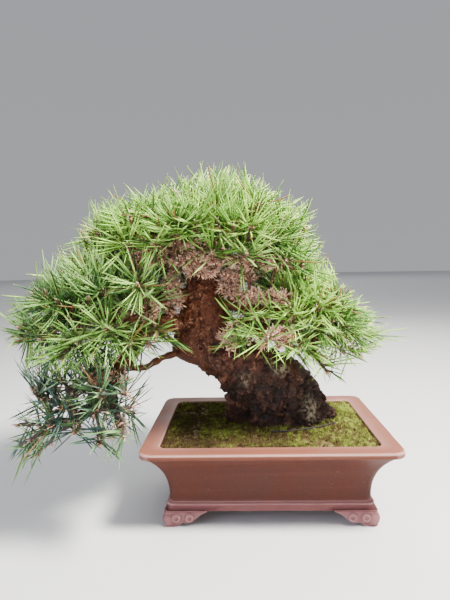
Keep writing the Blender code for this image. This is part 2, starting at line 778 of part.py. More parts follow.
def shoots():
    """Place, direction and twig of every shoot: those seen face on, then the pads filled by rule."""
    draw = random.Random(SEED)
    wood = wood_pieces()
    cores = []
    found = []

    def grow(place, facing, names):
        """The shoot's core and twig, or nothing where one of them would cross another piece."""
        core = (place + facing * SHOOT_RADIUS, place + facing * SHOOT_LENGTH, SHOOT_RADIUS)
        route = twig_points(place, facing, names)
        twig = pieces(route, TWIG_ROOT_RADIUS, SHOOT_RADIUS)
        if (route[-1] - route[-2]).normalized().dot(facing) < TWIG_STRAIGHT:
            return None
        if keeps_clear(core, wood + cores) and all(keeps_clear(line, cores) for line in twig):
            return core, twig, (place, facing, route)
        return None

    def keep(grown):
        core, twig, shoot = grown
        cores.append(core)
        wood.extend(twig)
        found.append(shoot)

    for place, facing, names in SPOTS:
        keep(grow(Vector(place), Vector(facing).normalized(), names))
    for middle, sizes, count, lowest, lift, names in PADS.values():
        for _ in range(count):
            best = None
            for _ in range(PLACES_DRAWN):
                place, outward = pad_place(Vector(middle), sizes, lowest, draw)
                stray = Vector(draw.uniform(-SHOOT_STRAY, SHOOT_STRAY) for _ in range(3))
                room = min((place - other[0]).length for other in found)
                if best is None or room > best[0]:
                    grown = grow(place, (outward + UP * lift + stray).normalized(), names)
                    best = (room, grown) if grown else best
            keep(best[1])
    return found


def twig_points(place, facing, names):
    """A curved twig from the best place on its boughs to the shoot's foot, ending along the shoot."""
    def cost(point):
        gap = place - point
        return gap.length * (REACH_COST - STRAIGHT_GAIN * gap.normalized().dot(facing))

    start = min(carrier_points(names), key=cost)
    reach = (place - start).length
    bend = place - facing * (TWIG_BEND * reach)
    near = start + (place - start) * TWIG_NEAR
    route = []
    for k in range(TWIG_STEPS + 1):
        s = k / TWIG_STEPS
        weights = ((1 - s) ** 3, 3 * s * (1 - s) ** 2, 3 * s * s * (1 - s), s ** 3)
        route.append(sum((w * p for w, p in zip(weights, (start, near, bend, place))), Vector()))
    return route


def make_tree(found, collection, helpers, material):
    bm = bmesh.new()
    loft(bm, trunk_rings(), split=True)
    tree = new_object("tree", bm, collection, material)
    limbs = new_collection("limbs", helpers)
    for name, (start, end, _) in BOUGHS.items():
        limb = tube(bough_points(name), start, end, BOUGH_SIDES, BOUGH_ROUGHNESS)
        new_object("bough_" + name, limb, limbs)
    for number, (_, facing, route) in enumerate(found, 1):
        twig = tube(route, TWIG_ROOT_RADIUS, SHOOT_RADIUS, TWIG_SIDES, finish=facing)
        new_object(f"twig_{number:02d}", twig, limbs)
    apply_boolean(tree, "UNION", limbs, "MANIFOLD")
    empty_collection(limbs)
    return tree


# Needles

def segment_gap(a, b, c, d):
    """Shortest distance between two straight pieces, a to b and c to d."""
    u, v, w = b - a, d - c, a - c
    uu, uv, vv, uw, vw = u.dot(u), u.dot(v), v.dot(v), u.dot(w), v.dot(w)
    det = uu * vv - uv * uv
    s = min(1.0, max(0.0, (uv * vw - vv * uw) / det)) if det > 1e-12 else 0.0
    t = min(1.0, max(0.0, (uv * s + vw) / vv))
    s = min(1.0, max(0.0, (uv * t - uw) / uu))
    return (w + u * s - v * t).length


def clear_of_solids(start, end, radius, trees):
    """Whether a straight piece keeps its distance from the solids, past its first stretch."""
    along = end - start
    for tree in trees:
        if tree.ray_cast(start, along, along.length + radius)[0] is not None:
            return False
        for k in range(1, NEEDLE_CHECKS + 1):
            if tree.find_nearest(start.lerp(end, k / NEEDLE_CHECKS), radius + NEEDLE_CLEAR)[0] is not None:
                return False
    return True


def needle_segments(place, facing, draw, taken, trees):
    """Root and tip of each needle of one shoot: a spiral that closes toward the shoot's tip."""
    foot = place + facing * GAP
    side, other = frame_along([foot, foot + facing])[0]
    middle_of_face = math.pi / SHOOT_SIDES
    segments = []
    for number in range(NEEDLES):
        share = number / (NEEDLES - 1)
        root = foot + facing * SHOOT_LENGTH * (ROOT_SPAN[0] + (ROOT_SPAN[1] - ROOT_SPAN[0]) * share)
        for attempt in range(NEEDLE_TRIES):
            wobble = NEEDLE_WOBBLE + WOBBLE_GROWTH * attempt
            angle = middle_of_face + number * NEEDLE_TURN + draw.uniform(-wobble, wobble)
            lean = NEEDLE_LEAN[0] + (NEEDLE_LEAN[1] - NEEDLE_LEAN[0]) * share
            lean += draw.uniform(-wobble, wobble) / 2
            if number == NEEDLES - 1:
                lean = draw.uniform(0, wobble) / 2
            outward = side * math.cos(angle) + other * math.sin(angle)
            along = facing * math.cos(lean) + outward * math.sin(lean)
            tip = root + along * draw.uniform(*NEEDLE_LENGTH)
            near = [line for line in taken if (line[2] - root).length < NEEDLE_REACH]
            room = NEEDLE_RADIUS + NEEDLE_CLEAR
            clear = all(segment_gap(root, tip, a, b) > room + width for a, b, _, width in near)
            if clear and clear_of_solids(root, tip, NEEDLE_RADIUS, trees):
                segments.append((root, tip))
                break
    return segments


def needle(root, tip):
    bm = bmesh.new()
    length = (tip - root).length
    bmesh.ops.create_cone(
        bm, cap_ends=True, segments=3, radius1=NEEDLE_RADIUS, radius2=0, depth=length,
        matrix=Matrix.Translation((0, 0, length / 2)),
    )
    bmesh.ops.remove_doubles(bm, verts=bm.verts, dist=0.00001)
    turn = (tip - root).to_track_quat("Z", "Y").to_matrix().to_4x4()
    bmesh.ops.transform(bm, verts=bm.verts, matrix=Matrix.Translation(root) @ turn)
    return bm


def make_sprays(found, solids, collection, helpers, material):
    draw = random.Random(SEED + 1)
    trees = [tree_of(solid) for solid in solids]
    cores = []
    for place, facing, _ in found:
        foot = place + facing * GAP
        cores.append((foot, foot + facing * SHOOT_LENGTH))
    taken = [(a, b, (a + b) / 2, SHOOT_RADIUS) for a, b in cores]
    sprays = []
    missing = 0
    for number, ((place, facing, _), core) in enumerate(zip(found, cores), 1):
        others = [line for k, line in enumerate(taken) if k != number - 1]
        segments = needle_segments(place, facing, draw, others, trees)
        missing += NEEDLES - len(segments)
        taken += [(a, b, (a + b) / 2, NEEDLE_RADIUS) for a, b in segments]
        bm = tube([core[0], core[1]], SHOOT_RADIUS, SHOOT_TIP_RADIUS, SHOOT_SIDES)
        spray = new_object(f"spray_{number:02d}", bm, collection, material)
        blades = new_collection("blades", helpers)
        for root, tip in segments:
            new_object("blade", needle(root, tip), blades)
        apply_boolean(spray, "UNION", blades, "MANIFOLD")
        empty_collection(blades)
        bpy.data.collections.remove(blades)
        sprays.append(spray)
    print(f"{len(sprays)} sprays, {missing} needles left out where nothing was clear")
    return sprays


def tree_of(obj):
    bm = bmesh.new()
    bm.from_mesh(obj.data)
    found = BVHTree.FromBMesh(bm)
    bm.free()
    return found


def centre_on_origin(objects):
    """Parents every piece to one empty, moved so that the middle of the outer box stands on the origin."""
    corners = [vertex.co for obj in objects for vertex in obj.data.vertices]
    low = Vector(min(point[axis] for point in corners) for axis in range(3))
    high = Vector(max(point[axis] for point in corners) for axis in range(3))
    stand = bpy.data.objects.new("stand", None)
    bpy.context.scene.collection.objects.link(stand)
    for obj in objects:
        obj.parent = stand
    stand.location = (-(low.x + high.x) / 2, -(low.y + high.y) / 2, -low.z)
    print("pot centre at", [round(value, 5) for value in stand.location])


def main():
    clear_scene()
    scene = bpy.context.scene
    parts = new_collection(COLLECTION, scene.collection)
    helpers = new_collection("helpers", scene.collection)
    helpers.hide_render = True
    clay = new_material("clay", (0.30, 0.15, 0.11), 0.55)
    plastic = new_material("drain_mesh", (0.02, 0.02, 0.02), 0.6)
    earth = new_material("soil", (0.07, 0.045, 0.03), 0.95)
    moss_green = new_material("moss", (0.16, 0.20, 0.03), 0.95)
    bark_brown = new_material("bark", (0.16, 0.085, 0.055), 0.9)
    needle_green = new_material("needles", (0.14, 0.30, 0.06), 0.5)
    wire_dark = new_material("tie_wire", (0.05, 0.035, 0.03), 0.5, 0.8)

    found = shoots()
    pot = make_pot(parts, helpers, clay)
    meshes = [
        make_drain_mesh("drain_mesh_" + side, x, y, parts, helpers, plastic)
        for side, (x, y) in zip(("left", "right"), hole_centres())
    ]
    soil = make_soil(parts, helpers, earth)
    moss = make_moss(parts, helpers, moss_green)
    wire = make_tie_wire(moss, parts, wire_dark)
    tree = make_tree(found, parts, helpers, bark_brown)
    sprays = make_sprays(found, (tree, pot, moss), parts, helpers, needle_green)
    centre_on_origin([pot, *meshes, soil, moss, wire, tree, *sprays])
    for obj in helpers.objects:
        obj.display_type = "WIRE"
        obj.hide_render = True


if __name__ == "__main__":
    main()
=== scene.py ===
"""Looks of a black pine bonsai in its clay pot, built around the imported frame.

The solids' own rule for shoots, boughs and trunk is repeated here, so that the finer pieces stand where the
solids are. Metres, in the row frame: the pot's centre is moved from the world's origin, as the frame says.
"""

import json
import math
import random
from functools import cached_property

import bmesh
import bpy
from bpy.props import FloatProperty, FloatVectorProperty, IntProperty, PointerProperty
from bpy.types import NodeSocket, Operator, Panel, PropertyGroup
from mathutils import Matrix, Vector, noise
from mathutils.bvhtree import BVHTree
from mathutils.kdtree import KDTree

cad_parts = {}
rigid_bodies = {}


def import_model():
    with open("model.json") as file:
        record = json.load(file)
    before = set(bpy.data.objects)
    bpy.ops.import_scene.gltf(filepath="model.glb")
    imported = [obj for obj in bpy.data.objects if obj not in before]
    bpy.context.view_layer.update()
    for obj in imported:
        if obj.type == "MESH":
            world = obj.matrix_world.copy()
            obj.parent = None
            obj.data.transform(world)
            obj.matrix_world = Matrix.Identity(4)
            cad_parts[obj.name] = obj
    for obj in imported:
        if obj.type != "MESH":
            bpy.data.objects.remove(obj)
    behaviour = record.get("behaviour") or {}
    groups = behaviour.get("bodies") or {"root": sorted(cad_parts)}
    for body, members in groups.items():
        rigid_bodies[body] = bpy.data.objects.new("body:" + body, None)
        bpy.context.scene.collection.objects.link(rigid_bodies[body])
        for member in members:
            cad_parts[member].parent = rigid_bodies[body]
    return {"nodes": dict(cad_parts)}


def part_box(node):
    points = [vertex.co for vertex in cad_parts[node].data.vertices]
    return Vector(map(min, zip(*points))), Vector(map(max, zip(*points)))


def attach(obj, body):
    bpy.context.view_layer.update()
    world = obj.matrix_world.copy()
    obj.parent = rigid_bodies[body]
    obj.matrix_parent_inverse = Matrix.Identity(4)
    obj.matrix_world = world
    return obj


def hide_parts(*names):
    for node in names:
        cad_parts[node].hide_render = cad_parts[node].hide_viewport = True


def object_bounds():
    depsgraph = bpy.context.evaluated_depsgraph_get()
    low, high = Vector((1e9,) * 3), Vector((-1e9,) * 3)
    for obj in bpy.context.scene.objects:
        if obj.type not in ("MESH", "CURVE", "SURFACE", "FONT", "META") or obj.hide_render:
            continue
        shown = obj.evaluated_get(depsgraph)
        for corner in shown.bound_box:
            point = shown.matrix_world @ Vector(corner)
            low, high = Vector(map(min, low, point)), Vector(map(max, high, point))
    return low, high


bl_info = {
    "name": "Black pine bonsai",
    "version": (1, 0, 0),
    "blender": (4, 5, 0),
    "location": "3D View > Sidebar > Bonsai",
    "description": "Makes a black pine bonsai with its needles, bark, moss and clay pot",
    "category": "Object",
}

for leftover in list(bpy.data.objects):
    bpy.data.objects.remove(leftover, do_unlink=True)
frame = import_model()
CAD_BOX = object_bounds()
POT_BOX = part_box("pot")
POT_CENTRE = Vector(((POT_BOX[0].x + POT_BOX[1].x) / 2, (POT_BOX[0].y + POT_BOX[1].y) / 2, 0))
UP = Vector((0, 0, 1))

# The pot, as in the solids
RIM_LENGTH = 0.300
RIM_CORNER = 0.0138
RIM_FACE = 0.021
RIM_BAND = 0.0079
POT_HEIGHT = 0.0985
WAIST_LENGTH = 0.239
WAIST_WIDTH = 0.155
WAIST_CORNER = 0.008
FOOT_HEIGHT = 0.0176
BAND_TOP = 0.027
BAND_OUT = 0.0034
WALL = 0.007
FLOOR = 0.008
LIP_OUT = 0.027
LIP_POWER = 2.6
FOOT_OUT = 0.0055
FOOT_PLATE = 0.009
FOOT_OUTLINE = (
    (0.0020, 0.0000), (0.0120, 0.0000), (0.0175, 0.0018), (0.0215, 0.0046), (0.0265, 0.0036),
    (0.0320, 0.0052), (0.0370, 0.0092), (0.0425, 0.0140), (0.0500, 0.0195), (0.0022, 0.0195),
    (0.0005, 0.0125), (0.0006, 0.0040),
)
OUTLINE_CORNERS = (8, 9)
# Curls: place along the plate, height and radius
CURL_PLACES = ((0.0140, 0.0108, 0.0052), (0.0295, 0.0112, 0.0050))
LOBE_INSET = 0.0050
LOBE_LEVEL = 0.0086
LOBE_SIZE = (0.0082, 0.0082, 0.0088)
FOOT_CELL = 0.00078
FINE_EDGE = 0.0030
HOLE_OFF_CENTRE = 0.060
HOLE_RADIUS = 0.011
HOLE_SIDES = 32

# The mound of moss, as in the solids
MOUND_EDGE = 0.0950
MOUND_RISE = 0.0085
MOUND_CENTRE = (0.020, 0.012)
MOUND_REACH = (0.125, 0.085)
MOSS_THICK = 0.0040
MOSS_INSET = 0.0008
WIRE_ROUTE = ((0.004, -0.0415), (0.026, -0.0405), (0.048, -0.0355), (0.070, -0.0260), (0.090, -0.0120))
WIRE_CLEAR = 0.0036

# The trunk's stations, from the foot up: left edge, right edge, middle depth and half depth of a section
TRUNK_STATIONS = (
    ((-0.026, 0.060), (0.062, 0.060), 0.016, 0.030),
    ((-0.036, 0.078), (0.080, 0.078), 0.017, 0.038),
    ((-0.050, 0.098), (0.094, 0.098), 0.018, 0.047),
    ((-0.049, 0.118), (0.084, 0.116), 0.016, 0.046),
    ((-0.053, 0.138), (0.073, 0.139), 0.012, 0.044),
    ((-0.067, 0.157), (0.060, 0.160), 0.008, 0.043),
    ((-0.083, 0.172), (0.041, 0.178), 0.004, 0.042),
    ((-0.106, 0.182), (0.010, 0.195), 0.000, 0.040),
    ((-0.121, 0.193), (-0.022, 0.206), -0.002, 0.037),
    ((-0.119, 0.213), (-0.037, 0.220), -0.003, 0.034),
    ((-0.111, 0.240), (-0.043, 0.240), -0.002, 0.030),
    ((-0.103, 0.275), (-0.054, 0.273), 0.000, 0.025),
    ((-0.095, 0.312), (-0.062, 0.310), 0.002, 0.016),
    ((-0.084, 0.345), (-0.062, 0.343), 0.004, 0.011),
    ((-0.066, 0.372), (-0.052, 0.368), 0.004, 0.0065),
    ((-0.049, 0.389), (-0.042, 0.386), 0.003, 0.0035),
)
ROOT_LOBES = 7
ROOT_LOBE_SHARE = 0.10
ROOT_TOP = 0.150
# Stations above the foot where the lobes start, and how they are turned and sunk
ROOT_START = 1.4
ROOT_TURN = 0.9
ROOT_SUNK = 0.2
BARK_GIRTH_SHARE = 0.14
THIN_WOOD = 0.009
BARK_MIDDLE = 0.6
FURROW_ACROSS = 62.0
FURROW_ALONG = 26.0
FURROW_GAIN = 3.2
CRACK_ACROSS = 40.0
CRACK_ALONG = 95.0
CRACK_SLICE = 7.0
CRACK_GAIN = 3.5
CRACK_SHARE = 0.4
# Plates of bark and the flakes on them: how often they come, per metre
PLATES_ACROSS = 100.0
PLATES_ALONG = 66.0
FINE_PLATES = (190.0, 105.0)
PLATES_CHANGE = (0.150, 0.215)
FLAKES = 260.0
# How far plates and flakes are pushed about, how wide their edges are, and what each adds to the height
PLATE_WARP = 0.9
FLAKE_WARP = 200
WARP_REACH = 0.7
PLATE_EDGE = 0.20
FLAKE_EDGE = 0.3
PLATE_DOME = 0.65
PLATE_STEP = 0.6
PLATE_TILT = 0.9
COARSE_SHARE = 0.60
FLAKE_SHARE = 0.55
# Where in the noise each plate's and flake's own shade and tilt are read
SHADE_SPOT = 5.3
TILT_SPOT = 3.7
FLAKE_SPOT = 4.7
# Where the bark starts, how far above that it is full, and the lowest point of the tree
BARK_START = 0.080
BARK_FADE = 0.010
TREE_FOOT = 0.0601
# How much the relief shows in the colour, and how much darker thin wood is
RELIEF_GAIN = 0.4
THIN_DARKER = 0.5
GIRTH_STEPS = 4
BOUGH_GIRTH_STEPS = 5
TRUNK_SIDES = 72
TRUNK_STEPS = 8
BOUGH_SIDES = 16
BOUGH_FINE_STEPS = 10
BOUGH_KNOBS = 0.0010
KNOBS_OFTEN = 110

# The boughs, as in the solids: a radius at the start, one at the end and the route between them
BOUGHS = {
    "left": (0.0110, 0.0042, (
        (-0.086, 0.000, 0.262), (-0.118, -0.018, 0.272), (-0.152, -0.040, 0.266), (-0.190, -0.055, 0.258),
        (-0.232, -0.052, 0.252), (-0.268, -0.040, 0.246),
    )),
    "left_back": (0.0060, 0.0036, (
        (-0.152, -0.040, 0.266), (-0.182, -0.015, 0.272), (-0.212, 0.010, 0.268), (-0.240, 0.018, 0.262),
    )),
    "left_front": (0.0056, 0.0036, (
        (-0.118, -0.018, 0.272), (-0.134, -0.052, 0.262), (-0.160, -0.082, 0.244),
    )),
    "fall": (0.0120, 0.0050, (
        (-0.096, -0.006, 0.226), (-0.128, -0.030, 0.238), (-0.156, -0.056, 0.220), (-0.170, -0.072, 0.192),
        (-0.186, -0.084, 0.164), (-0.206, -0.086, 0.144), (-0.240, -0.080, 0.124), (-0.268, -0.074, 0.112),
    )),
    "fall_back": (0.0060, 0.0036, (
        (-0.186, -0.084, 0.164), (-0.212, -0.068, 0.162), (-0.244, -0.046, 0.158),
    )),
    "fall_front": (0.0056, 0.0034, (
        (-0.182, -0.082, 0.168), (-0.174, -0.096, 0.146), (-0.166, -0.106, 0.128),
    )),
    "thin": (0.0042, 0.0034, (
        (-0.106, -0.010, 0.196), (-0.130, -0.034, 0.192), (-0.150, -0.056, 0.185), (-0.168, -0.072, 0.190),
    )),
    "right": (0.0075, 0.0036, (
        (-0.066, -0.006, 0.252), (-0.040, -0.022, 0.257), (-0.012, -0.030, 0.252), (0.026, -0.026, 0.252),
        (0.062, -0.012, 0.258), (0.094, 0.004, 0.260),
    )),
    "right_low": (0.0085, 0.0040, (
        (-0.066, 0.000, 0.224), (-0.030, -0.010, 0.232), (0.010, -0.020, 0.224), (0.048, -0.018, 0.214),
        (0.084, -0.010, 0.210),
    )),
    "right_front": (0.0056, 0.0036, (
        (-0.030, -0.010, 0.232), (-0.016, -0.038, 0.230), (-0.004, -0.062, 0.222),
    )),
    "right_back": (0.0060, 0.0036, (
        (0.010, -0.020, 0.224), (0.030, 0.018, 0.232), (0.056, 0.046, 0.234),
    )),
    "crown_left": (0.0085, 0.0040, (
        (-0.080, 0.000, 0.312), (-0.112, -0.010, 0.330), (-0.146, -0.016, 0.334), (-0.182, -0.016, 0.330),
        (-0.206, -0.012, 0.320),
    )),
    "crown_right": (0.0080, 0.0038, (
        (-0.074, 0.002, 0.322), (-0.044, -0.004, 0.342), (-0.010, -0.006, 0.344), (0.022, -0.004, 0.334),
    )),
    "crown_front": (0.0066, 0.0036, (
        (-0.078, -0.002, 0.304), (-0.066, -0.026, 0.318), (-0.048, -0.050, 0.318),
    )),
    "crown_front_left": (0.0060, 0.0036, (
        (-0.112, -0.010, 0.330), (-0.126, -0.036, 0.328), (-0.142, -0.058, 0.322),
    )),
    "crown_back": (0.0070, 0.0036, (
        (-0.080, 0.004, 0.298), (-0.074, 0.032, 0.316), (-0.058, 0.056, 0.322),
    )),
    "crown_back_left": (0.0060, 0.0036, (
        (-0.112, -0.010, 0.330), (-0.128, 0.020, 0.334), (-0.148, 0.044, 0.330),
    )),
}
BOUGH_STEPS = 1.5

# Pads of foliage: middle, half sizes, shoots in the solids, lowest height share, turn upward, boughs
PADS = {
    "crown": (
        (-0.084, 0.002, 0.320), (0.130, 0.076, 0.060), 20, -0.15, 0.40,
        ("crown_left", "crown_right", "crown_front", "crown_front_left", "crown_back", "crown_back_left",
         "trunk"),
    ),
    "left": (
        (-0.210, -0.044, 0.243), (0.078, 0.060, 0.038), 9, -0.60, 0.35,
        ("left", "left_back", "left_front"),
    ),
    "fall": (
        (-0.224, -0.072, 0.136), (0.062, 0.034, 0.030), 5, -0.35, -0.05,
        ("fall", "fall_back", "fall_front"),
    ),
    "right": (
        (0.060, 0.006, 0.234), (0.052, 0.050, 0.028), 6, -0.30, 0.35,
        ("right", "right_low", "right_front", "right_back"),
    ),
}
# Shoots that are seen face on: pad, place, where they point and the boughs that can carry them
SPOTS = (
    ("crown", (-0.020, -0.064, 0.340), (0.15, -0.85, 0.45), ("crown_front", "crown_right")),
    ("left", (-0.140, -0.086, 0.282), (-0.05, -0.90, 0.35), ("left_front",)),
    ("left", (-0.176, -0.090, 0.236), (-0.10, -0.85, 0.25), ("left_front", "left")),
    ("fall", (-0.163, -0.098, 0.166), (0.35, -0.75, 0.20), ("fall",)),
    ("fall", (-0.224, -0.092, 0.148), (-0.30, -0.80, 0.25), ("fall",)),
    ("fall", (-0.160, -0.114, 0.138), (0.15, -0.65, -0.35), ("fall_front",)),
    ("fall", (-0.274, -0.081, 0.111), (-0.80, -0.30, -0.35), ("fall",)),
    ("right", (0.000, -0.078, 0.222), (-0.05, -0.90, 0.25), ("right_front",)),
    ("right", (0.110, -0.012, 0.212), (0.85, -0.35, 0.15), ("right_low",)),
    ("right", (0.066, -0.034, 0.186), (0.35, -0.65, -0.55), ("right_low",)),
    ("right", (-0.034, -0.046, 0.232), (-0.10, -0.80, 0.35), ("right_front", "right_low")),
)
SOLID_SEED = 31
PLACES_DRAWN = 60
SHOOT_STRAY = 0.15
SHOOT_CLEAR = 0.0012
SHOOT_NEAR = 0.075
SHOOT_LENGTH = 0.019
SHOOT_RADIUS = 0.0026
TWIG_ROOT_RADIUS = 0.0036
TWIG_STEPS = 3
TWIG_STRAIGHT = 0.8
# What a twig costs for each metre, less what it saves by running the shoot's way, and where its curve bends
TWIG_COST = 2.2
TWIG_SAVES = 1.2
TWIG_NEAR = 0.3
TWIG_BEND = 0.45

# More shoots that are seen face on: place, and where they point if not outward
ROSETTES = {
    "crown": (
        ((-0.086, -0.038, 0.366), None), ((-0.056, -0.056, 0.352), None), ((-0.122, -0.068, 0.330), None),
        ((-0.155, -0.060, 0.330), None), ((-0.079, -0.070, 0.342), (0.0, -0.70, 0.70)),
        ((-0.040, -0.066, 0.336), (0.25, -0.75, 0.60)), ((-0.110, -0.066, 0.340), (-0.2, -0.70, 0.70)),
        ((0.018, -0.039, 0.312), None), ((0.034, -0.010, 0.336), None), ((-0.098, -0.064, 0.346), None),
        ((-0.190, -0.026, 0.340), None), ((-0.128, -0.040, 0.360), None), ((-0.010, -0.040, 0.366), None),
        ((-0.070, -0.005, 0.380), (0.05, -0.10, 1.0)), ((-0.046, 0.002, 0.386), (0.10, -0.05, 1.0)),
        ((-0.022, -0.002, 0.382), (0.20, -0.10, 1.0)), ((-0.092, 0.010, 0.378), (-0.10, 0.10, 1.0)),
        ((0.024, -0.006, 0.350), (0.75, -0.20, 0.70)), ((-0.214, -0.020, 0.318), (-0.90, -0.20, 0.30)),
        ((0.030, -0.030, 0.300), (0.60, -0.60, 0.10)), ((-0.140, 0.040, 0.300), (-0.30, 0.60, -0.20)),
        ((-0.112, 0.052, 0.292), (-0.10, 0.70, -0.30)), ((-0.062, 0.056, 0.298), (0.10, 0.75, -0.25)),
        ((-0.024, 0.046, 0.296), (0.35, 0.65, -0.25)), ((0.004, 0.034, 0.300), (0.60, 0.40, -0.15)),
        ((-0.040, 0.034, 0.282), (0.10, 0.40, -0.60)), ((-0.014, 0.040, 0.278), (0.25, 0.40, -0.50)),
        ((-0.020, 0.060, 0.290), (0.00, 0.90, 0.00)), ((0.002, 0.054, 0.284), (0.20, 0.80, -0.30)),
        ((-0.044, 0.052, 0.312), (0.00, 0.80, 0.10)), ((0.026, 0.030, 0.298), (0.55, 0.35, -0.30)),
        ((-0.126, 0.034, 0.308), (-0.20, 0.60, -0.20)), ((-0.132, 0.022, 0.286), (-0.40, 0.30, -0.40)),
        ((-0.196, -0.022, 0.352), (-0.30, -0.20, 0.90)), ((-0.176, -0.010, 0.362), (-0.10, 0.05, 1.0)),
        ((-0.216, -0.012, 0.338), (-0.55, -0.15, 0.75)), ((-0.160, -0.034, 0.356), (-0.15, -0.45, 0.85)),
    ),
    "left": (
        ((-0.206, -0.096, 0.232), None), ((-0.245, -0.090, 0.236), None), ((-0.270, -0.079, 0.243), None),
        ((-0.225, -0.088, 0.264), None), ((-0.186, -0.080, 0.268), None), ((-0.270, -0.050, 0.262), None),
        ((-0.160, -0.080, 0.226), None), ((-0.196, -0.086, 0.226), (0.05, -0.70, -0.65)),
        ((-0.224, -0.076, 0.226), (-0.20, -0.55, -0.75)), ((-0.254, -0.070, 0.232), (-0.50, -0.45, -0.55)),
        ((-0.168, -0.074, 0.226), (0.30, -0.65, -0.50)), ((-0.240, -0.034, 0.286), (-0.35, -0.30, 0.85)),
        ((-0.146, -0.058, 0.224), (0.50, -0.65, -0.30)), ((-0.136, -0.030, 0.236), (0.40, -0.20, -0.50)),
        ((-0.158, -0.024, 0.232), (0.10, 0.30, -0.60)), ((-0.132, -0.010, 0.252), (0.20, 0.60, -0.20)),
        ((-0.140, -0.052, 0.236), (0.45, -0.70, -0.35)), ((-0.152, -0.062, 0.288), (0.10, -0.75, 0.45)),
    ),
    "fall": (
        ((-0.240, -0.100, 0.136), None), ((-0.216, -0.100, 0.128), None), ((-0.206, -0.074, 0.170), None),
        ((-0.262, -0.088, 0.122), None), ((-0.186, -0.100, 0.160), None), ((-0.190, -0.104, 0.122), None),
        ((-0.232, -0.076, 0.164), (-0.45, -0.40, 0.70)), ((-0.256, -0.090, 0.106), (-0.55, -0.40, -0.60)),
        ((-0.276, -0.076, 0.124), (-0.90, -0.25, 0.05)), ((-0.246, -0.080, 0.150), (-0.70, -0.50, 0.45)),
    ),
    "right": (
        ((0.014, -0.040, 0.226), None), ((0.042, -0.044, 0.214), None), ((0.067, -0.024, 0.252), None),
        ((0.092, -0.016, 0.244), None), ((0.034, -0.036, 0.248), None), ((0.088, -0.024, 0.206), None),
        ((-0.006, -0.044, 0.240), None), ((0.040, -0.020, 0.276), (0.40, -0.50, 0.60)),
        ((0.020, -0.006, 0.222), (0.0, -0.80, -0.1)), ((0.052, 0.010, 0.216), (0.1, -0.80, -0.2)),
        ((0.078, 0.000, 0.226), (0.2, -0.80, 0.1)), ((0.000, 0.010, 0.232), (-0.2, -0.70, 0.1)),
        ((-0.020, 0.022, 0.236), (-0.3, 0.30, 0.2)), ((-0.026, -0.030, 0.214), (-0.2, -0.80, -0.1)),
        ((0.108, -0.016, 0.216), (0.95, -0.20, -0.15)), ((0.104, -0.020, 0.200), (0.70, -0.45, -0.45)),
        ((0.050, -0.030, 0.206), (0.10, -0.65, -0.65)), ((-0.016, -0.040, 0.222), (-0.10, -0.80, -0.40)),
        ((0.030, 0.012, 0.214), (0.15, -0.50, -0.45)), ((0.052, 0.022, 0.206), (0.40, -0.40, -0.30)),
    ),
}
# Shoots that the rule adds between them: how many, how far they stray and how deep in their pad they stand
MORE_SHOOTS = {"crown": 60, "left": 32, "fall": 9, "right": 30}
FINE_STRAY = 0.25
FINE_DEPTHS = (0.55, 1.02)
FINE_TWIG_STEPS = 4
# Where twigs leave the twigs of the solids, and how much a shoot that is seen face on turns to the front
FORKS = (1.2, 1.8, 2.4)
TO_FRONT = Vector((0, -0.9, 0.25))
# Their room to the trunk, and how far past the solids' box they reach
TRUNK_ROOM = 0.014
BOX_SLACK = 0.008
NEEDLES_FROM = 0.8
FINE_SEED = 7
# Noise vectors are drawn from the clock unless a seed is set
noise.seed_set(FINE_SEED)
# Bare spurs with old sheaths, thick under the crown and along the right bough:
# middle, half sizes, count and the boughs that carry them
SPURS = (
    ((-0.152, -0.040, 0.318), (0.032, 0.014, 0.014), 40, ("crown_left", "crown_front_left")),
    ((-0.084, -0.044, 0.321), (0.044, 0.016, 0.017), 70, ("crown_front", "crown_left", "crown_right")),
    ((-0.078, -0.036, 0.303), (0.024, 0.010, 0.010), 34, ("crown_front",)),
    ((-0.118, -0.028, 0.272), (0.016, 0.012, 0.026), 44, ("left", "crown_front", "left_front")),
    ((-0.044, -0.028, 0.284), (0.013, 0.010, 0.018), 30, ("crown_front", "right", "crown_right")),
    ((-0.008, -0.040, 0.310), (0.040, 0.014, 0.010), 44, ("crown_right", "right")),
    ((-0.002, -0.042, 0.268), (0.042, 0.010, 0.009), 46, ("right",)),
    ((0.012, -0.066, 0.220), (0.026, 0.012, 0.015), 26, ("right_front", "right_low")),
    ((-0.046, -0.044, 0.219), (0.010, 0.006, 0.018), 22, ("right_low", "right_front")),
    ((-0.106, 0.006, 0.306), (0.030, 0.012, 0.014), 26, ("crown_left", "crown_back")),
    ((-0.034, 0.010, 0.296), (0.034, 0.012, 0.018), 40, ("crown_right", "right", "crown_back")),
    ((-0.184, -0.084, 0.180), (0.028, 0.010, 0.014), 18, ("fall",)),
    ((-0.148, -0.066, 0.250), (0.028, 0.014, 0.020), 26, ("left", "left_front")),
)
SPUR_REACH = 0.006
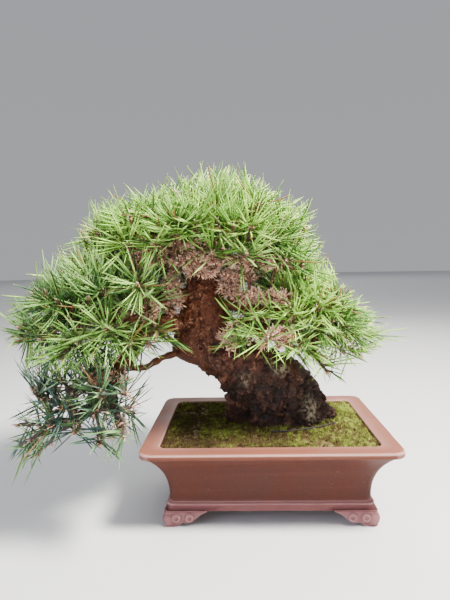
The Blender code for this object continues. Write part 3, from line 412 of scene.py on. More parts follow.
# Outline of the foliage seen from the front, above and below: x and height on the pot's middle plane
OUTLINE_TOP = (
    (-0.345, 0.262), (-0.332, 0.272), (-0.315, 0.282), (-0.298, 0.305), (-0.281, 0.319), (-0.264, 0.335),
    (-0.247, 0.347), (-0.229, 0.386), (-0.197, 0.398), (-0.166, 0.401), (-0.134, 0.407), (-0.118, 0.417),
    (-0.102, 0.422), (-0.071, 0.435), (-0.025, 0.438), (-0.010, 0.417), (0.021, 0.401), (0.043, 0.386),
    (0.066, 0.387), (0.076, 0.355), (0.083, 0.312), (0.097, 0.282), (0.128, 0.258), (0.159, 0.222),
)
OUTLINE_LOW = (
    (-0.364, 0.022), (-0.322, 0.020), (-0.306, 0.048), (-0.291, 0.060), (-0.246, 0.074), (-0.232, 0.060),
    (-0.226, 0.038), (-0.209, 0.032), (-0.180, 0.046), (-0.154, 0.078), (-0.148, 0.110), (-0.144, 0.180),
    (-0.053, 0.188), (-0.003, 0.186), (0.047, 0.171), (0.086, 0.151), (0.106, 0.161), (0.136, 0.178),
    (0.167, 0.206),
)
# Its left side, as height and x
OUTLINE_LEFT = (
    (0.017, -0.337), (0.032, -0.347), (0.053, -0.350), (0.074, -0.348), (0.102, -0.341), (0.123, -0.325),
    (0.137, -0.315), (0.160, -0.313), (0.174, -0.324), (0.185, -0.335), (0.206, -0.343), (0.227, -0.345),
    (0.247, -0.342), (0.267, -0.338), (0.280, -0.326), (0.304, -0.319), (0.317, -0.308),
)
LEFT_SLACK = 0.009
# A turn that is full enough for a random one
FULL_TURN = 6.28
# A direction that no route runs along, which a route's first side is square to
CROSSING = Vector((0.3, 0.2, 1.0))
SEAM_WIDTH = 0.0000001
# The lowest that a pad's needles reach, seen from the front
LOWEST = {"crown": 0.200, "left": 0.166, "fall": 0.0, "right": 0.150}
OUTLINE_SLACK = 0.003
OUTLINE_SPREAD = 2.6 * OUTLINE_SLACK
# Places seen from the front that few needles cross: from x, to x, from height, to height, share that stays
BARE_PLACES = (
    (-0.108, -0.059, 0.201, 0.308, 0.03),
    (-0.108, -0.059, 0.308, 0.333, 0.32),
    (-0.165, -0.110, 0.164, 0.194, 0.15),
    (-0.200, -0.144, 0.070, 0.164, 0.55),
    (-0.127, -0.108, 0.262, 0.333, 0.30),
    (-0.189, -0.127, 0.296, 0.335, 0.50),
    (-0.059, 0.037, 0.280, 0.319, 0.45),
    (-0.059, 0.037, 0.249, 0.280, 0.36),
    (-0.010, 0.032, 0.204, 0.236, 0.35),
)


def length_prop(name, description, default, low, high):
    return FloatProperty(
        name=name, description=description, default=default, min=low, max=high, unit="LENGTH")


def count_prop(name, description, default, low, high):
    return IntProperty(name=name, description=description, default=default, min=low, max=high)


def colour_prop(name, description, red, green, blue):
    return FloatVectorProperty(
        name=name, description=description, default=(red, green, blue, 1), min=0, max=1, size=4,
        subtype="COLOR")


class BonsaiSizes(PropertyGroup):
    needle_length: length_prop("Needle length", "Length of a full needle", 0.052, 0.02, 0.09)
    needle_width: length_prop("Needle width", "Thickness of a needle", 0.0019, 0.0005, 0.004)
    pairs: count_prop("Pairs of needles", "Pairs of needles on each shoot", 25, 6, 60)
    bark_depth: length_prop("Bark depth", "Depth of the furrows between plates of bark", 0.0052, 0.0, 0.01)
    bark_cell: length_prop("Wood mesh", "Size of the faces of trunk and boughs", 0.0013, 0.0008, 0.004)
    moss_blade: length_prop("Moss blade", "Length of the moss's finest blades", 0.0042, 0.001, 0.008)
    moss_tufts: count_prop("Moss tufts", "Number of small tufts over the moss", 8200, 0, 20000)


class BonsaiColours(PropertyGroup):
    clay: colour_prop("Clay", "Colour of the unglazed clay", 0.062, 0.0130, 0.0062)
    clay_dark: colour_prop("Dark clay", "Darker clouds in the clay", 0.044, 0.0092, 0.0048)
    needle: colour_prop("Needles", "Colour of needles in the light", 0.205, 0.430, 0.052)
    needle_old: colour_prop("Old needles", "Colour of older, deeper green needles", 0.012, 0.054, 0.006)
    needle_blue: colour_prop("Shaded needles", "Blue-green needles of the lowest bough", 0.042, 0.102, 0.096)
    bark_warm: colour_prop("Warm bark", "Colour of the bark of the upper trunk", 0.140, 0.036, 0.013)
    bark_dark: colour_prop("Dark bark", "Colour of the bark at the trunk's foot", 0.022, 0.0075, 0.0038)
    bud: colour_prop("Buds", "Colour of buds and old sheaths", 0.780, 0.310, 0.210)
    moss: colour_prop("Moss", "Colour of the moss in the light", 0.140, 0.162, 0.026)
    moss_dark: colour_prop("Dark moss", "Colour of the olive and brown moss", 0.104, 0.063, 0.022)
    floor: colour_prop("Floor", "Colour of the plain floor", 0.66, 0.655, 0.65)


# Finishes

def shaded(colour, share):
    """A colour made darker, or paler with a share over one."""
    return tuple(min(1.0, part * share) for part in tuple(colour)[:3])


def opaque(colour):
    """A colour with its fourth part, or a socket as it is."""
    if isinstance(colour, NodeSocket):
        return colour
    return (*tuple(colour)[:3], 1)


class Nodes:
    """Short ways to add nodes to a shader's tree."""

    def __init__(self, tree):
        self.tree = tree

    def node(self, kind, values=None, **settings):
        """Adds a node. Values go by input name or number, and a socket among them is linked."""
        made = self.tree.nodes.new("ShaderNode" + kind)
        for key, value in settings.items():
            setattr(made, key, value)
        for key, value in (values or {}).items():
            if isinstance(value, NodeSocket):
                self.tree.links.new(value, made.inputs[key])
            else:
                made.inputs[key].default_value = value
        return made

    def mix(self, share, first, second, blend="MIX"):
        values = {0: share, 6: opaque(first), 7: opaque(second)}
        return self.node("Mix", values, data_type="RGBA", blend_type=blend).outputs[2]

    def calc(self, operation, first, second=0.0):
        return self.node("Math", {0: first, 1: second}, operation=operation).outputs[0]

    def add(self, first, *others):
        for other in others:
            first = self.calc("ADD", first, other)
        return first

    def times(self, first, second):
        return self.calc("MULTIPLY", first, second)

    def between(self, value, low, high, to_low=0.0, to_high=1.0):
        """Where a value lies between two others, as a share or between two results."""
        return self.node("MapRange", {0: value, 1: low, 2: high, 3: to_low, 4: to_high}).outputs[0]

    def ramp(self, value, stops):
        """A colour ramp, with stops as place and colour."""
        made = self.node("ValToRGB", {"Fac": value})
        points = made.color_ramp.elements
        while len(points) < len(stops):
            points.new(0.5)
        for point, (place, colour) in zip(points, stops):
            point.position = place
            point.color = opaque(colour)
        return made.outputs["Color"]

    def attribute(self, name):
        return self.node("Attribute", attribute_name=name).outputs["Fac"]


class Finish(Nodes):
    """A material with one Principled shader, whose colours are laid on coat by coat."""

    def __init__(self, name, roughness=0.5, specular=0.5):
        self.material = bpy.data.materials.new(name)
        self.material.use_nodes = True
        super().__init__(self.material.node_tree)
        self.tree.nodes.clear()
        self.shader = self.node("BsdfPrincipled", {"Roughness": roughness, "Specular IOR Level": specular})
        self.node("OutputMaterial", {"Surface": self.shader.outputs["BSDF"]})
        self.base = None

    @cached_property
    def place(self):
        """The piece's own coordinates, counted from the pot's centre."""
        coordinates = self.node("TexCoord").outputs["Object"]
        return self.node("Mapping", {"Vector": coordinates, "Location": tuple(-POT_CENTRE)}).outputs["Vector"]

    @cached_property
    def axes(self):
        return self.node("SeparateXYZ", {0: self.place}).outputs

    def noise(self, scale, detail=3.0, roughness=0.55, distortion=0.0, place=None):
        values = {
            "Vector": place or self.place, "Scale": scale, "Detail": detail, "Roughness": roughness,
            "Distortion": distortion,
        }
        return self.node("TexNoise", values).outputs["Fac"]

    def coat(self, colour, share):
        """Lays a colour over what is there, by a share."""
        self.base = self.mix(share, self.base, colour)

    def done(self, height=None, distance=0.0, strength=1.0):
        """The material, with its coats and, where a height is given, its bumps."""
        self.tree.links.new(self.base, self.shader.inputs["Base Color"])
        if height:
            bumps = self.node("Bump", {"Height": height, "Distance": distance, "Strength": strength})
            self.tree.links.new(bumps.outputs["Normal"], self.shader.inputs["Normal"])
        return self.material


# Shapes

def limited(value):
    """A value kept between 0 and 1."""
    return min(1.0, max(0.0, value))


def float_layer(bm, name):
    return bm.verts.layers.float.new(name)


def grown_verts(grown):
    """The vertices among what an extrusion made."""
    return [item for item in grown["geom"] if isinstance(item, bmesh.types.BMVert)]


def to_mesh(bm, name):
    """A mesh of a bmesh, which is freed."""
    mesh = bpy.data.meshes.new(name)
    bm.to_mesh(mesh)
    bm.free()
    return mesh


def new_object(name, data):
    made = bpy.data.objects.new(name, data)
    bpy.context.scene.collection.objects.link(made)
    return made


def evaluated(piece):
    """A new mesh of a piece with its modifiers applied."""
    graph = bpy.context.evaluated_depsgraph_get()
    return bpy.data.meshes.new_from_object(piece.evaluated_get(graph))


def finish_piece(name, bm, material, smooth=True):
    """Puts a bmesh into an object at the origin, moved from the pot's frame to the row's."""
    bmesh.ops.translate(bm, verts=bm.verts, vec=POT_CENTRE)
    mesh = to_mesh(bm, name)
    mesh.materials.append(material)
    mesh.polygons.foreach_set("use_smooth", [smooth] * len(mesh.polygons))
    piece = new_object(name, mesh)
    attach(piece, "root")
    return piece


def closed(bm):
    """Fills the open ends of a bmesh and turns its faces outward."""
    bmesh.ops.holes_fill(bm, edges=[edge for edge in bm.edges if edge.is_boundary], sides=0)
    bmesh.ops.recalc_face_normals(bm, faces=bm.faces)
    return bm


def skin(rings):
    """A closed bmesh through rings of equal counts: a grid, set to the rings, sewn and closed."""
    bm = bmesh.new()
    sides = len(rings[0])
    bmesh.ops.create_grid(bm, x_segments=sides, y_segments=len(rings) - 1, size=1)
    seam = []
    for index, vert in enumerate(bm.verts):
        row, column = divmod(index, sides + 1)
        vert.co = rings[row][column % sides]
        if column in (0, sides):
            seam.append(vert)
    bmesh.ops.remove_doubles(bm, verts=seam, dist=SEAM_WIDTH)
    return closed(bm)


def join(target, source):
    """Adds one bmesh to another and frees it."""
    mesh = to_mesh(source, "joined")
    target.from_mesh(mesh)
    bpy.data.meshes.remove(mesh)


def remeshed(bm, cell):
    """The outer skin of overlapping closed shapes, as one mesh of even faces."""
    holder = new_object("remesh", to_mesh(bm, "remesh"))
    modifier = holder.modifiers.new("Remesh", "REMESH")
    modifier.mode = "VOXEL"
    modifier.voxel_size = cell
    even = evaluated(holder)
    found = bmesh.new()
    found.from_mesh(even)
    bpy.data.meshes.remove(holder.data)
    bpy.data.meshes.remove(even)
    return found


def spline(points, at):
    """A point on the smooth Catmull-Rom curve through the given points, at counted in points."""
    last = len(points) - 1
    i = min(int(at), last - 1)
    share = at - i
    before, start, end, after = (points[min(max(k, 0), last)] for k in (i - 1, i, i + 1, i + 2))
    return (
        start
        + (end - before) * (0.5 * share)
        + (before * 2 - start * 5 + end * 4 - after) * (0.5 * share ** 2)
        + (start * 3 - before - end * 3 + after) * (0.5 * share ** 3)
    )


def frame_along(points):
    """A side and an upward direction at each point of a route, carried along it without twist."""
    frames = []
    side = None
    last = len(points) - 1
    for i in range(last + 1):
        ahead = (points[min(i + 1, last)] - points[max(i - 1, 0)]).normalized()
        if side is None:
            side = ahead.cross(CROSSING).normalized()
        side = (side - ahead * side.dot(ahead)).normalized()
        frames.append((side, ahead.cross(side)))
    return frames


def around(side, rise, angle):
    """A direction square to a line, turned round it from the line's side toward its rise."""
    return side * math.cos(angle) + rise * math.sin(angle)


def tube(points, radii, sides, knobs, often):
    """A closed tube along a route with a radius at each point, and knobs of a height, so often a metre."""
    rings = []
    for point, radius, (side, rise) in zip(points, radii, frame_along(points)):
        ring = []
        for k in range(sides):
            reach = around(side, rise, 2 * math.pi * k / sides)
            lift = knobs * noise.noise((point + reach * radius) * often) * 2
            ring.append(point + reach * (radius + lift))
        rings.append(ring)
    return skin(rings)


def tapered(start, end, count):
    return [start + (end - start) * k / (count - 1) for k in range(count)]


def scaled(vector, sizes):
    return Vector(share * size for share, size in zip(vector, sizes))


def wobble(draw, reach):
    """A random amount, up to a reach either way."""
    return draw.uniform(-reach, reach)


def stray(draw, reach):
    """A random step, up to a reach either way along each axis."""
    return Vector(wobble(draw, reach) for _ in range(3))


# The rule for shoots, with the same draws as in the solids

def bough_points(name, steps=BOUGH_STEPS):
    route = [Vector(point) for point in BOUGHS[name][2]]
    last = len(route) - 1
    count = round(steps * last)
    return [spline(route, last * k / count) for k in range(count + 1)]


def station_middles(stations=TRUNK_STATIONS):
    return [
        Vector(((left[0] + right[0]) / 2, middle, (left[1] + right[1]) / 2))
        for left, right, middle, _ in stations
    ]


def half_width(left, right):
    return (Vector(right) - Vector(left)).length / 2


def trunk_axis():
    middle = station_middles(TRUNK_STATIONS[-4:])
    return [spline(middle, k / 3) for k in range(3 * (len(middle) - 1) + 1)]


def carrier_points(names):
    found = []
    for name in names:
        found += trunk_axis() if name == "trunk" else bough_points(name)[1:]
    return found


def straight_pieces(points, start_radius, end_radius):
    radii = tapered(start_radius, end_radius, len(points))
    return list(zip(points, points[1:], radii))


def wood_pieces():
    middles = station_middles()
    found = [(a, b, half) for a, b, (_, _, _, half) in zip(middles, middles[1:], TRUNK_STATIONS)]
    for name, (start, end, _) in BOUGHS.items():
        found += straight_pieces(bough_points(name), start, end)
    return found


def segment_gap(a, b, c, d):
    """Shortest distance between two straight pieces, a to b and c to d."""
    u, v, w = b - a, d - c, a - c
    uu, uv, vv, uw, vw = u.dot(u), u.dot(v), v.dot(v), u.dot(w), v.dot(w)
    det = uu * vv - uv * uv
    s = limited((uv * vw - vv * uw) / det) if det > 1e-12 else 0.0
    t = limited((uv * s + vw) / vv)
    s = limited((uv * t - uw) / uu)
    return (w + u * s - v * t).length


def place_gap(place, start, end):
    """Shortest distance between a place, as a very short piece, and a straight piece."""
    return segment_gap(place, place + UP * 0.0001, start, end)


def keeps_clear(line, others):
    start, end, radius = line
    near = [other for other in others if (other[0] - start).length < SHOOT_NEAR]
    return all(segment_gap(start, end, a, b) > radius + width + SHOOT_CLEAR for a, b, width in near)


def twig_points(place, facing, carriers, steps=TWIG_STEPS):
    """A curved twig from the best of the carrying points to the shoot's foot, ending along the shoot."""
    def cost(point):
        gap = place - point
        return gap.length * (TWIG_COST - TWIG_SAVES * gap.normalized().dot(facing))

    start = min(carriers, key=cost)
    reach = (place - start).length
    bend = place - facing * (TWIG_BEND * reach)
    near = start + (place - start) * TWIG_NEAR
    route = []
    for k in range(steps + 1):
        s = k / steps
        weights = ((1 - s) ** 3, 3 * s * (1 - s) ** 2, 3 * s * s * (1 - s), s ** 3)
        route.append(sum((w * p for w, p in zip(weights, (start, near, bend, place))), Vector()))
    return route


def pad_place(middle, sizes, lowest, draw):
    """A place drawn on a pad's rounded outside, above its lowest share, and the way outward there."""
    height = draw.uniform(lowest, 1.0)
    angle = draw.uniform(0, 2 * math.pi)
    level = math.sqrt(1 - height ** 2)
    ball = Vector((level * math.cos(angle), level * math.sin(angle), height))
    outward = Vector(share / size for share, size in zip(ball, sizes)).normalized()
    return middle + scaled(ball, sizes), outward


def solid_shoots():
    """Pad, place, direction and twig of every shoot of the solids, in the order of their nodes."""
    draw = random.Random(SOLID_SEED)
    wood = wood_pieces()
    cores = []
    found = []

    def grow(pad, place, facing, names):
        core = (place + facing * SHOOT_RADIUS, place + facing * SHOOT_LENGTH, SHOOT_RADIUS)
        route = twig_points(place, facing, carrier_points(names))
        twig = straight_pieces(route, TWIG_ROOT_RADIUS, SHOOT_RADIUS)
        if (route[-1] - route[-2]).normalized().dot(facing) < TWIG_STRAIGHT:
            return None
        if keeps_clear(core, wood + cores) and all(keeps_clear(line, cores) for line in twig):
            return core, twig, (pad, place, facing, route)
        return None

    def keep(grown):
        core, twig, shoot = grown
        cores.append(core)
        wood.extend(twig)
        found.append(shoot)

    for pad, place, facing, names in SPOTS:
        keep(grow(pad, Vector(place), Vector(facing).normalized(), names))
    for pad, (middle, sizes, count, lowest, lift, names) in PADS.items():
        for _ in range(count):
            best = None
            for _ in range(PLACES_DRAWN):
                place, outward = pad_place(Vector(middle), sizes, lowest, draw)
                facing = (outward + UP * lift + stray(draw, SHOOT_STRAY)).normalized()
                room = min((place - other[1]).length for other in found)
                if best is None or room > best[0]:
                    grown = grow(pad, place, facing, names)
                    best = (room, grown) if grown else best
            keep(best[1])
    return found


def trunk_room(place):
    """How far a place is from the trunk's surface, roughly."""
    middles = station_middles()
    room = 1.0
    for start, end, (left, right, _, half) in zip(middles, middles[1:], TRUNK_STATIONS):
        room = min(room, place_gap(place, start, end) - max(half_width(left, right), half))
    return room


def inside_box(place, facing, needle_length):
    """Whether a shoot's needles stay within the solids' box, give or take a small slack."""
    tip = place + facing * (NEEDLES_FROM * SHOOT_LENGTH + needle_length) + POT_CENTRE
    return all(CAD_BOX[0][k] - BOX_SLACK < tip[k] < CAD_BOX[1][k] + BOX_SLACK for k in range(3))


def fine_shoots(needle_length):
    """The solids' shoots and those added between them: pad, place, direction, twig and spray number."""
    draw = random.Random(FINE_SEED)
    found = [(*shoot, number) for number, shoot in enumerate(solid_shoots(), 1)]
    for pad, (middle, sizes, _, lowest, lift, names) in PADS.items():
        middle = Vector(middle)
        carriers = carrier_points(names)
        for kind, _, _, route, _ in found:
            if kind == pad:
                carriers += [spline(route, at) for at in FORKS]

        def add(place, facing):
            route = twig_points(place, facing, carriers, FINE_TWIG_STEPS)
            found.append((pad, place, facing, route, 0))
            carriers.append(route[2])

        for spot, way in ROSETTES[pad]:
            place = Vector(spot)
            away = place - middle
            outward = Vector(part / size ** 2 for part, size in zip(away, sizes)).normalized()
            way = Vector(way) if way else outward + TO_FRONT
            add(place, (way.normalized() + stray(draw, SHOOT_STRAY)).normalized())
        for _ in range(MORE_SHOOTS[pad]):
            best = None
            for _ in range(PLACES_DRAWN):
                place, outward = pad_place(middle, sizes, lowest, draw)
                place = middle + (place - middle) * draw.uniform(*FINE_DEPTHS)
                facing = (outward + UP * lift + stray(draw, FINE_STRAY)).normalized()
                room = min((place - other[1]).length for other in found)
                if best and room <= best[0]:
                    continue
                if trunk_room(place) > TRUNK_ROOM and inside_box(place, facing, needle_length):
                    best = (room, place, facing)
            add(best[1], best[2])
    return found


# Pot

RIM_OUT = (RIM_LENGTH - WAIST_LENGTH) / 2
LEAST_CORNER = 0.004
CORNER_STEPS = 10
SIDE_PARTS = 12
WALL_STEPS = 16
PROFILE_STEPS = 4
# Waves in the wall, as made by hand: how often they come, per metre, and their height
WALL_WAVES = ((24, 0.0004), (70, 0.00012))
# A curl is a ring with a knob in it, both as shares of the curl's radius
CURL_RING = 0.68
CURL_THICK = 0.36
CURL_OUT = 0.0008
CURL_SIDES = 10
CURL_STEPS = 28
KNOB_SHARE = 0.25
KNOB_DEPTH = 0.0017
KNOB_OUT = 0.0006
KNOB_ASIDE = 0.09
KNOB_UP = 0.08


def rounded_rectangle(half_x, half_y, corner, z, steps):
    ring = []
    for quarter, (sign_x, sign_y) in enumerate(((1, 1), (-1, 1), (-1, -1), (1, -1))):
        for step in range(steps + 1):
            angle = math.pi / 2 * (quarter + step / steps)
            x = sign_x * (half_x - corner) + corner * math.cos(angle)
            y = sign_y * (half_y - corner) + corner * math.sin(angle)
            ring.append(Vector((x, y, z)))
    return ring


def pot_ring(out, z):
    """A ring of the pot that stands out from the waist by an amount, with points along its sides too."""
    corner = max(LEAST_CORNER, WAIST_CORNER + (RIM_CORNER - WAIST_CORNER) * max(0.0, out) / RIM_OUT)
    ring = rounded_rectangle(WAIST_LENGTH / 2 + out, WAIST_WIDTH / 2 + out, corner, z, CORNER_STEPS)
    fine = []
    for k, point in enumerate(ring):
        after = ring[(k + 1) % len(ring)]
        parts = SIDE_PARTS if k % (CORNER_STEPS + 1) == CORNER_STEPS else 1
        fine += [point.lerp(after, part / parts) for part in range(parts)]
    return fine


def lip_out(z):
    share = (z - BAND_TOP) / (POT_HEIGHT - RIM_BAND - BAND_TOP)
    return LIP_OUT * max(0.0, share) ** LIP_POWER


def inner_out(z):
    return min(RIM_OUT - RIM_FACE, lip_out(z) - WALL)


def rounded_profile(points):
    """Points of a section with each corner that has a radius turned into a small curve."""
    found = []
    for k, (x, z, radius) in enumerate(points):
        here = Vector((x, z))
        if not radius or k in (0, len(points) - 1):
            found.append(here)
            continue
        before = (Vector(points[k - 1][:2]) - here).normalized() * radius
        after = (Vector(points[k + 1][:2]) - here).normalized() * radius
        for step in range(PROFILE_STEPS + 1):
            s = step / PROFILE_STEPS
            found.append(here + before * (1 - s) ** 2 + after * s ** 2)
    return found


def pot_profile():
    """The pot's section, up the outside and down the inside, from out, height and corner radius."""
    rim_low = POT_HEIGHT - RIM_BAND
    points = [
        (BAND_OUT - 0.0030, FOOT_HEIGHT, 0),
        (BAND_OUT, FOOT_HEIGHT, 0.0014),
        (BAND_OUT, BAND_TOP - 0.0002, 0.0016),
        (0.0002, BAND_TOP + 0.0006, 0.0009),
    ]
    for k in range(1, WALL_STEPS):
        z = BAND_TOP + 0.004 + (rim_low - BAND_TOP - 0.004) * k / WALL_STEPS
        points.append((lip_out(z), z, 0))
    points += [
        (lip_out(rim_low) - 0.0003, rim_low, 0.0008),
        (RIM_OUT, rim_low + 0.0003, 0.0018),
        (RIM_OUT - 0.0002, POT_HEIGHT, 0.0024),
        (inner_out(POT_HEIGHT), POT_HEIGHT - 0.0004, 0.0020),
        (inner_out(POT_HEIGHT), POT_HEIGHT - 0.010, 0),
    ]
    points += [(inner_out(z), z, 0) for z in (0.080, 0.064, 0.050)]
    points += [(inner_out(0.036), FOOT_HEIGHT + FLOOR + 0.005, 0), (-WALL - 0.004, FOOT_HEIGHT + FLOOR, 0)]
    return rounded_profile(points)


def ball(centre, sizes, subdivisions=3):
    bm = bmesh.new()
    matrix = Matrix.Translation(centre) @ Matrix.Diagonal((*sizes, 1))
    bmesh.ops.create_icosphere(bm, subdivisions=subdivisions, radius=1, matrix=matrix)
    return bm


def torus(centre, radius, thick):
    """A ring in the XZ plane: a small circle, spun round."""
    bm = bmesh.new()
    turn = Matrix.Rotation(math.pi / 2, 4, "Z")
    made = bmesh.ops.create_circle(
        bm, segments=CURL_SIDES, radius=thick, matrix=Matrix.Translation((radius, 0, 0)))
    bmesh.ops.rotate(bm, verts=made["verts"], cent=(radius, 0, 0), matrix=turn.to_3x3())
    bmesh.ops.spin(
        bm, geom=bm.verts[:] + bm.edges[:], cent=(0, 0, 0), axis=(0, 1, 0), angle=2 * math.pi,
        steps=CURL_STEPS, use_merge=True)
    bmesh.ops.translate(bm, verts=bm.verts, vec=centre)
    bmesh.ops.recalc_face_normals(bm, faces=bm.faces)
    return bm


def foot_plate():
    """One scalloped plate of a foot from the pot's corner along +X, with its curls, facing -Y."""
    outline = [Vector((x, z)) for x, z in FOOT_OUTLINE]
    last = len(outline) - 1
    smooth = []
    for k in range(last + 1):
        straight = k in OUTLINE_CORNERS or k == 0
        before, start, end, after = (outline[(k + step) % (last + 1)] for step in (-1, 0, 1, 2))
        for part in range(4):
            curved = spline([before, start, end, after], 1 + part / 4)
            smooth.append(start.lerp(end, part / 4) if straight else curved)
    bm = bmesh.new()
    made = bmesh.ops.create_circle(bm, cap_ends=True, segments=len(smooth), radius=1)
    for vert, point in zip(made["verts"], smooth):
        vert.co = (point.x, 0, point.y)
    grown = bmesh.ops.extrude_face_region(bm, geom=bm.faces[:])
    bmesh.ops.translate(bm, verts=grown_verts(grown), vec=(0, FOOT_PLATE, 0))
    bmesh.ops.recalc_face_normals(bm, faces=bm.faces)
    for x, z, radius in CURL_PLACES:
        join(bm, torus((x, -CURL_OUT, z), radius * CURL_RING, radius * CURL_THICK))
        knob = (radius * KNOB_SHARE, KNOB_DEPTH, radius * KNOB_SHARE)
        join(bm, ball((x - radius * KNOB_ASIDE, -KNOB_OUT, z + radius * KNOB_UP), knob, 2))
    return bm


def foot():
    """One corner foot: two plates at right angles and the round lobe at the corner."""
    bm = bmesh.new()
    join(bm, foot_plate())
    side = foot_plate()
    bmesh.ops.scale(side, verts=side.verts, vec=(-1, 1, 1))
    bmesh.ops.rotate(side, verts=side.verts, matrix=Matrix.Rotation(-math.pi / 2, 3, "Z"))
    bmesh.ops.recalc_face_normals(side, faces=side.faces)
    join(bm, side)
    join(bm, ball((LOBE_INSET, LOBE_INSET, LOBE_LEVEL), LOBE_SIZE))
    bmesh.ops.bisect_plane(
        bm, geom=bm.verts[:] + bm.edges[:] + bm.faces[:], plane_co=(0, 0, 0), plane_no=(0, 0, 1),
        clear_inner=False)
    found = remeshed(bm, FOOT_CELL)
    bmesh.ops.smooth_vert(
        found, verts=found.verts, factor=0.5, use_axis_x=True, use_axis_y=True, use_axis_z=True)
    for vert in found.verts:
        vert.co.z = max(0.0, vert.co.z)
    return found


def add_feet(bm):
    mesh = to_mesh(foot(), "foot")
    half_x = WAIST_LENGTH / 2 + FOOT_OUT
    half_y = WAIST_WIDTH / 2 + FOOT_OUT
    for side_x in (-1, 1):
        for side_y in (-1, 1):
            copy = bmesh.new()
            copy.from_mesh(mesh)
            bmesh.ops.scale(copy, verts=copy.verts, vec=(-side_x, -side_y, 1))
            bmesh.ops.translate(copy, verts=copy.verts, vec=(side_x * half_x, side_y * half_y, 0))
            if side_x * side_y < 0:
                bmesh.ops.reverse_faces(copy, faces=copy.faces)
            join(bm, copy)
    bpy.data.meshes.remove(mesh)


CLAY_GRAIN = (0.130, 0.036, 0.021)
CLAY_STREAK_PALE = (0.140, 0.040, 0.024)
CLAY_STREAK_DARK = (0.026, 0.0060, 0.0034)
CLAY_SPECK_DARK = (0.035, 0.012, 0.009)
CLAY_SPECK_PALE = (0.40, 0.24, 0.17)
RIM_PAINTED_LIGHT = (0.270, 0.095, 0.058)
RIM_PAINTED_HIGHLIGHT = (0.640, 0.400, 0.340)
BAND_PAINTED_SHEEN = (0.250, 0.092, 0.098)
LEDGE_PAINTED_LIGHT = (0.480, 0.240, 0.225)
CLAY_FEET = (0.390, 0.190, 0.205)
CLAY_HOLLOW_SHADE = (0.022, 0.008, 0.006)
CLAY_WEAR_AND_SHEEN = (0.480, 0.270, 0.260)
# Streaks from the potter's tool: few along the wall, many up it
STREAK_SCALE = (5.0, 5.0, 190.0)
RIM_HIGHLIGHT_LEVEL = POT_HEIGHT - 0.0018


def clay_finish(colours):
    finish = Finish("unglazed_clay", specular=0.20)
    height = finish.axes["Z"]
    clouds = finish.noise(16, 4, 0.6, 0.6)
    grain = finish.noise(620, 2, 0.7)
    specks = finish.node("TexVoronoi", {"Vector": finish.place, "Scale": 330}).outputs["Distance"]
    drawn_out = finish.node("Mapping", {"Vector": finish.place, "Scale": STREAK_SCALE}).outputs["Vector"]
    streaks = finish.noise(1.0, 4, 0.65, place=drawn_out)
    ledge = finish.calc("ABSOLUTE", finish.calc("SUBTRACT", height, BAND_TOP))
    highlight_gap = finish.calc("ABSOLUTE", finish.calc("SUBTRACT", height, RIM_HIGHLIGHT_LEVEL))
    hollow = finish.attribute("hollow")
    low = finish.between(height, FOOT_HEIGHT - 0.0005, FOOT_HEIGHT - 0.0025, 0.0, 0.50)
    finish.base = finish.mix(finish.between(clouds, 0.35, 0.68), colours.clay_dark, colours.clay)
    finish.coat(CLAY_GRAIN, finish.between(grain, 0.35, 0.75, 0.0, 0.30))
    finish.coat(CLAY_STREAK_PALE, finish.between(streaks, 0.52, 0.74, 0.0, 0.20))
    finish.coat(CLAY_STREAK_DARK, finish.between(streaks, 0.48, 0.30, 0.0, 0.24))
    finish.coat(CLAY_SPECK_DARK, finish.between(specks, 0.10, 0.22, 0.45, 0.0))
    finish.coat(CLAY_SPECK_PALE, finish.between(finish.noise(260, 1), 0.74, 0.80, 0.0, 0.20))
    # Painted light: the top 12 mm of the pot lighter, as lit from above
    finish.coat(RIM_PAINTED_LIGHT, finish.between(height, POT_HEIGHT - 0.012, POT_HEIGHT, 0.0, 0.55))
    # Painted sheen: the band and all below it lighter and more purple
    finish.coat(BAND_PAINTED_SHEEN, finish.between(height, BAND_TOP + 0.004, BAND_TOP - 0.002, 0.0, 0.42))
    # Painted light: a pale line along the band's top, where the flared wall above shades it
    finish.coat(LEDGE_PAINTED_LIGHT, finish.between(ledge, 0.0022, 0.0006, 0.0, 0.62))
    # Painted highlight: a pale line just under the rim's top edge
    finish.coat(RIM_PAINTED_HIGHLIGHT, finish.between(highlight_gap, 0.0016, 0.0004, 0.0, 0.60))
    finish.coat(CLAY_FEET, finish.between(height, FOOT_HEIGHT + 0.0005, FOOT_HEIGHT - 0.0010, 0.0, 0.30))
    # Painted shade: the hollows of the feet darker
    finish.coat(CLAY_HOLLOW_SHADE, finish.times(low, finish.between(hollow, 0.53, 0.64)))
    # Raised edges paler: partly wear, partly painted highlight
    finish.coat(CLAY_WEAR_AND_SHEEN, finish.between(hollow, 0.48, 0.38, 0.0, 0.40))
    finish.tree.links.new(finish.between(clouds, 0.3, 0.7, 0.44, 0.62), finish.shader.inputs["Roughness"])
    return finish.done(finish.add(finish.times(grain, 0.6), clouds), 0.00035, 0.5)


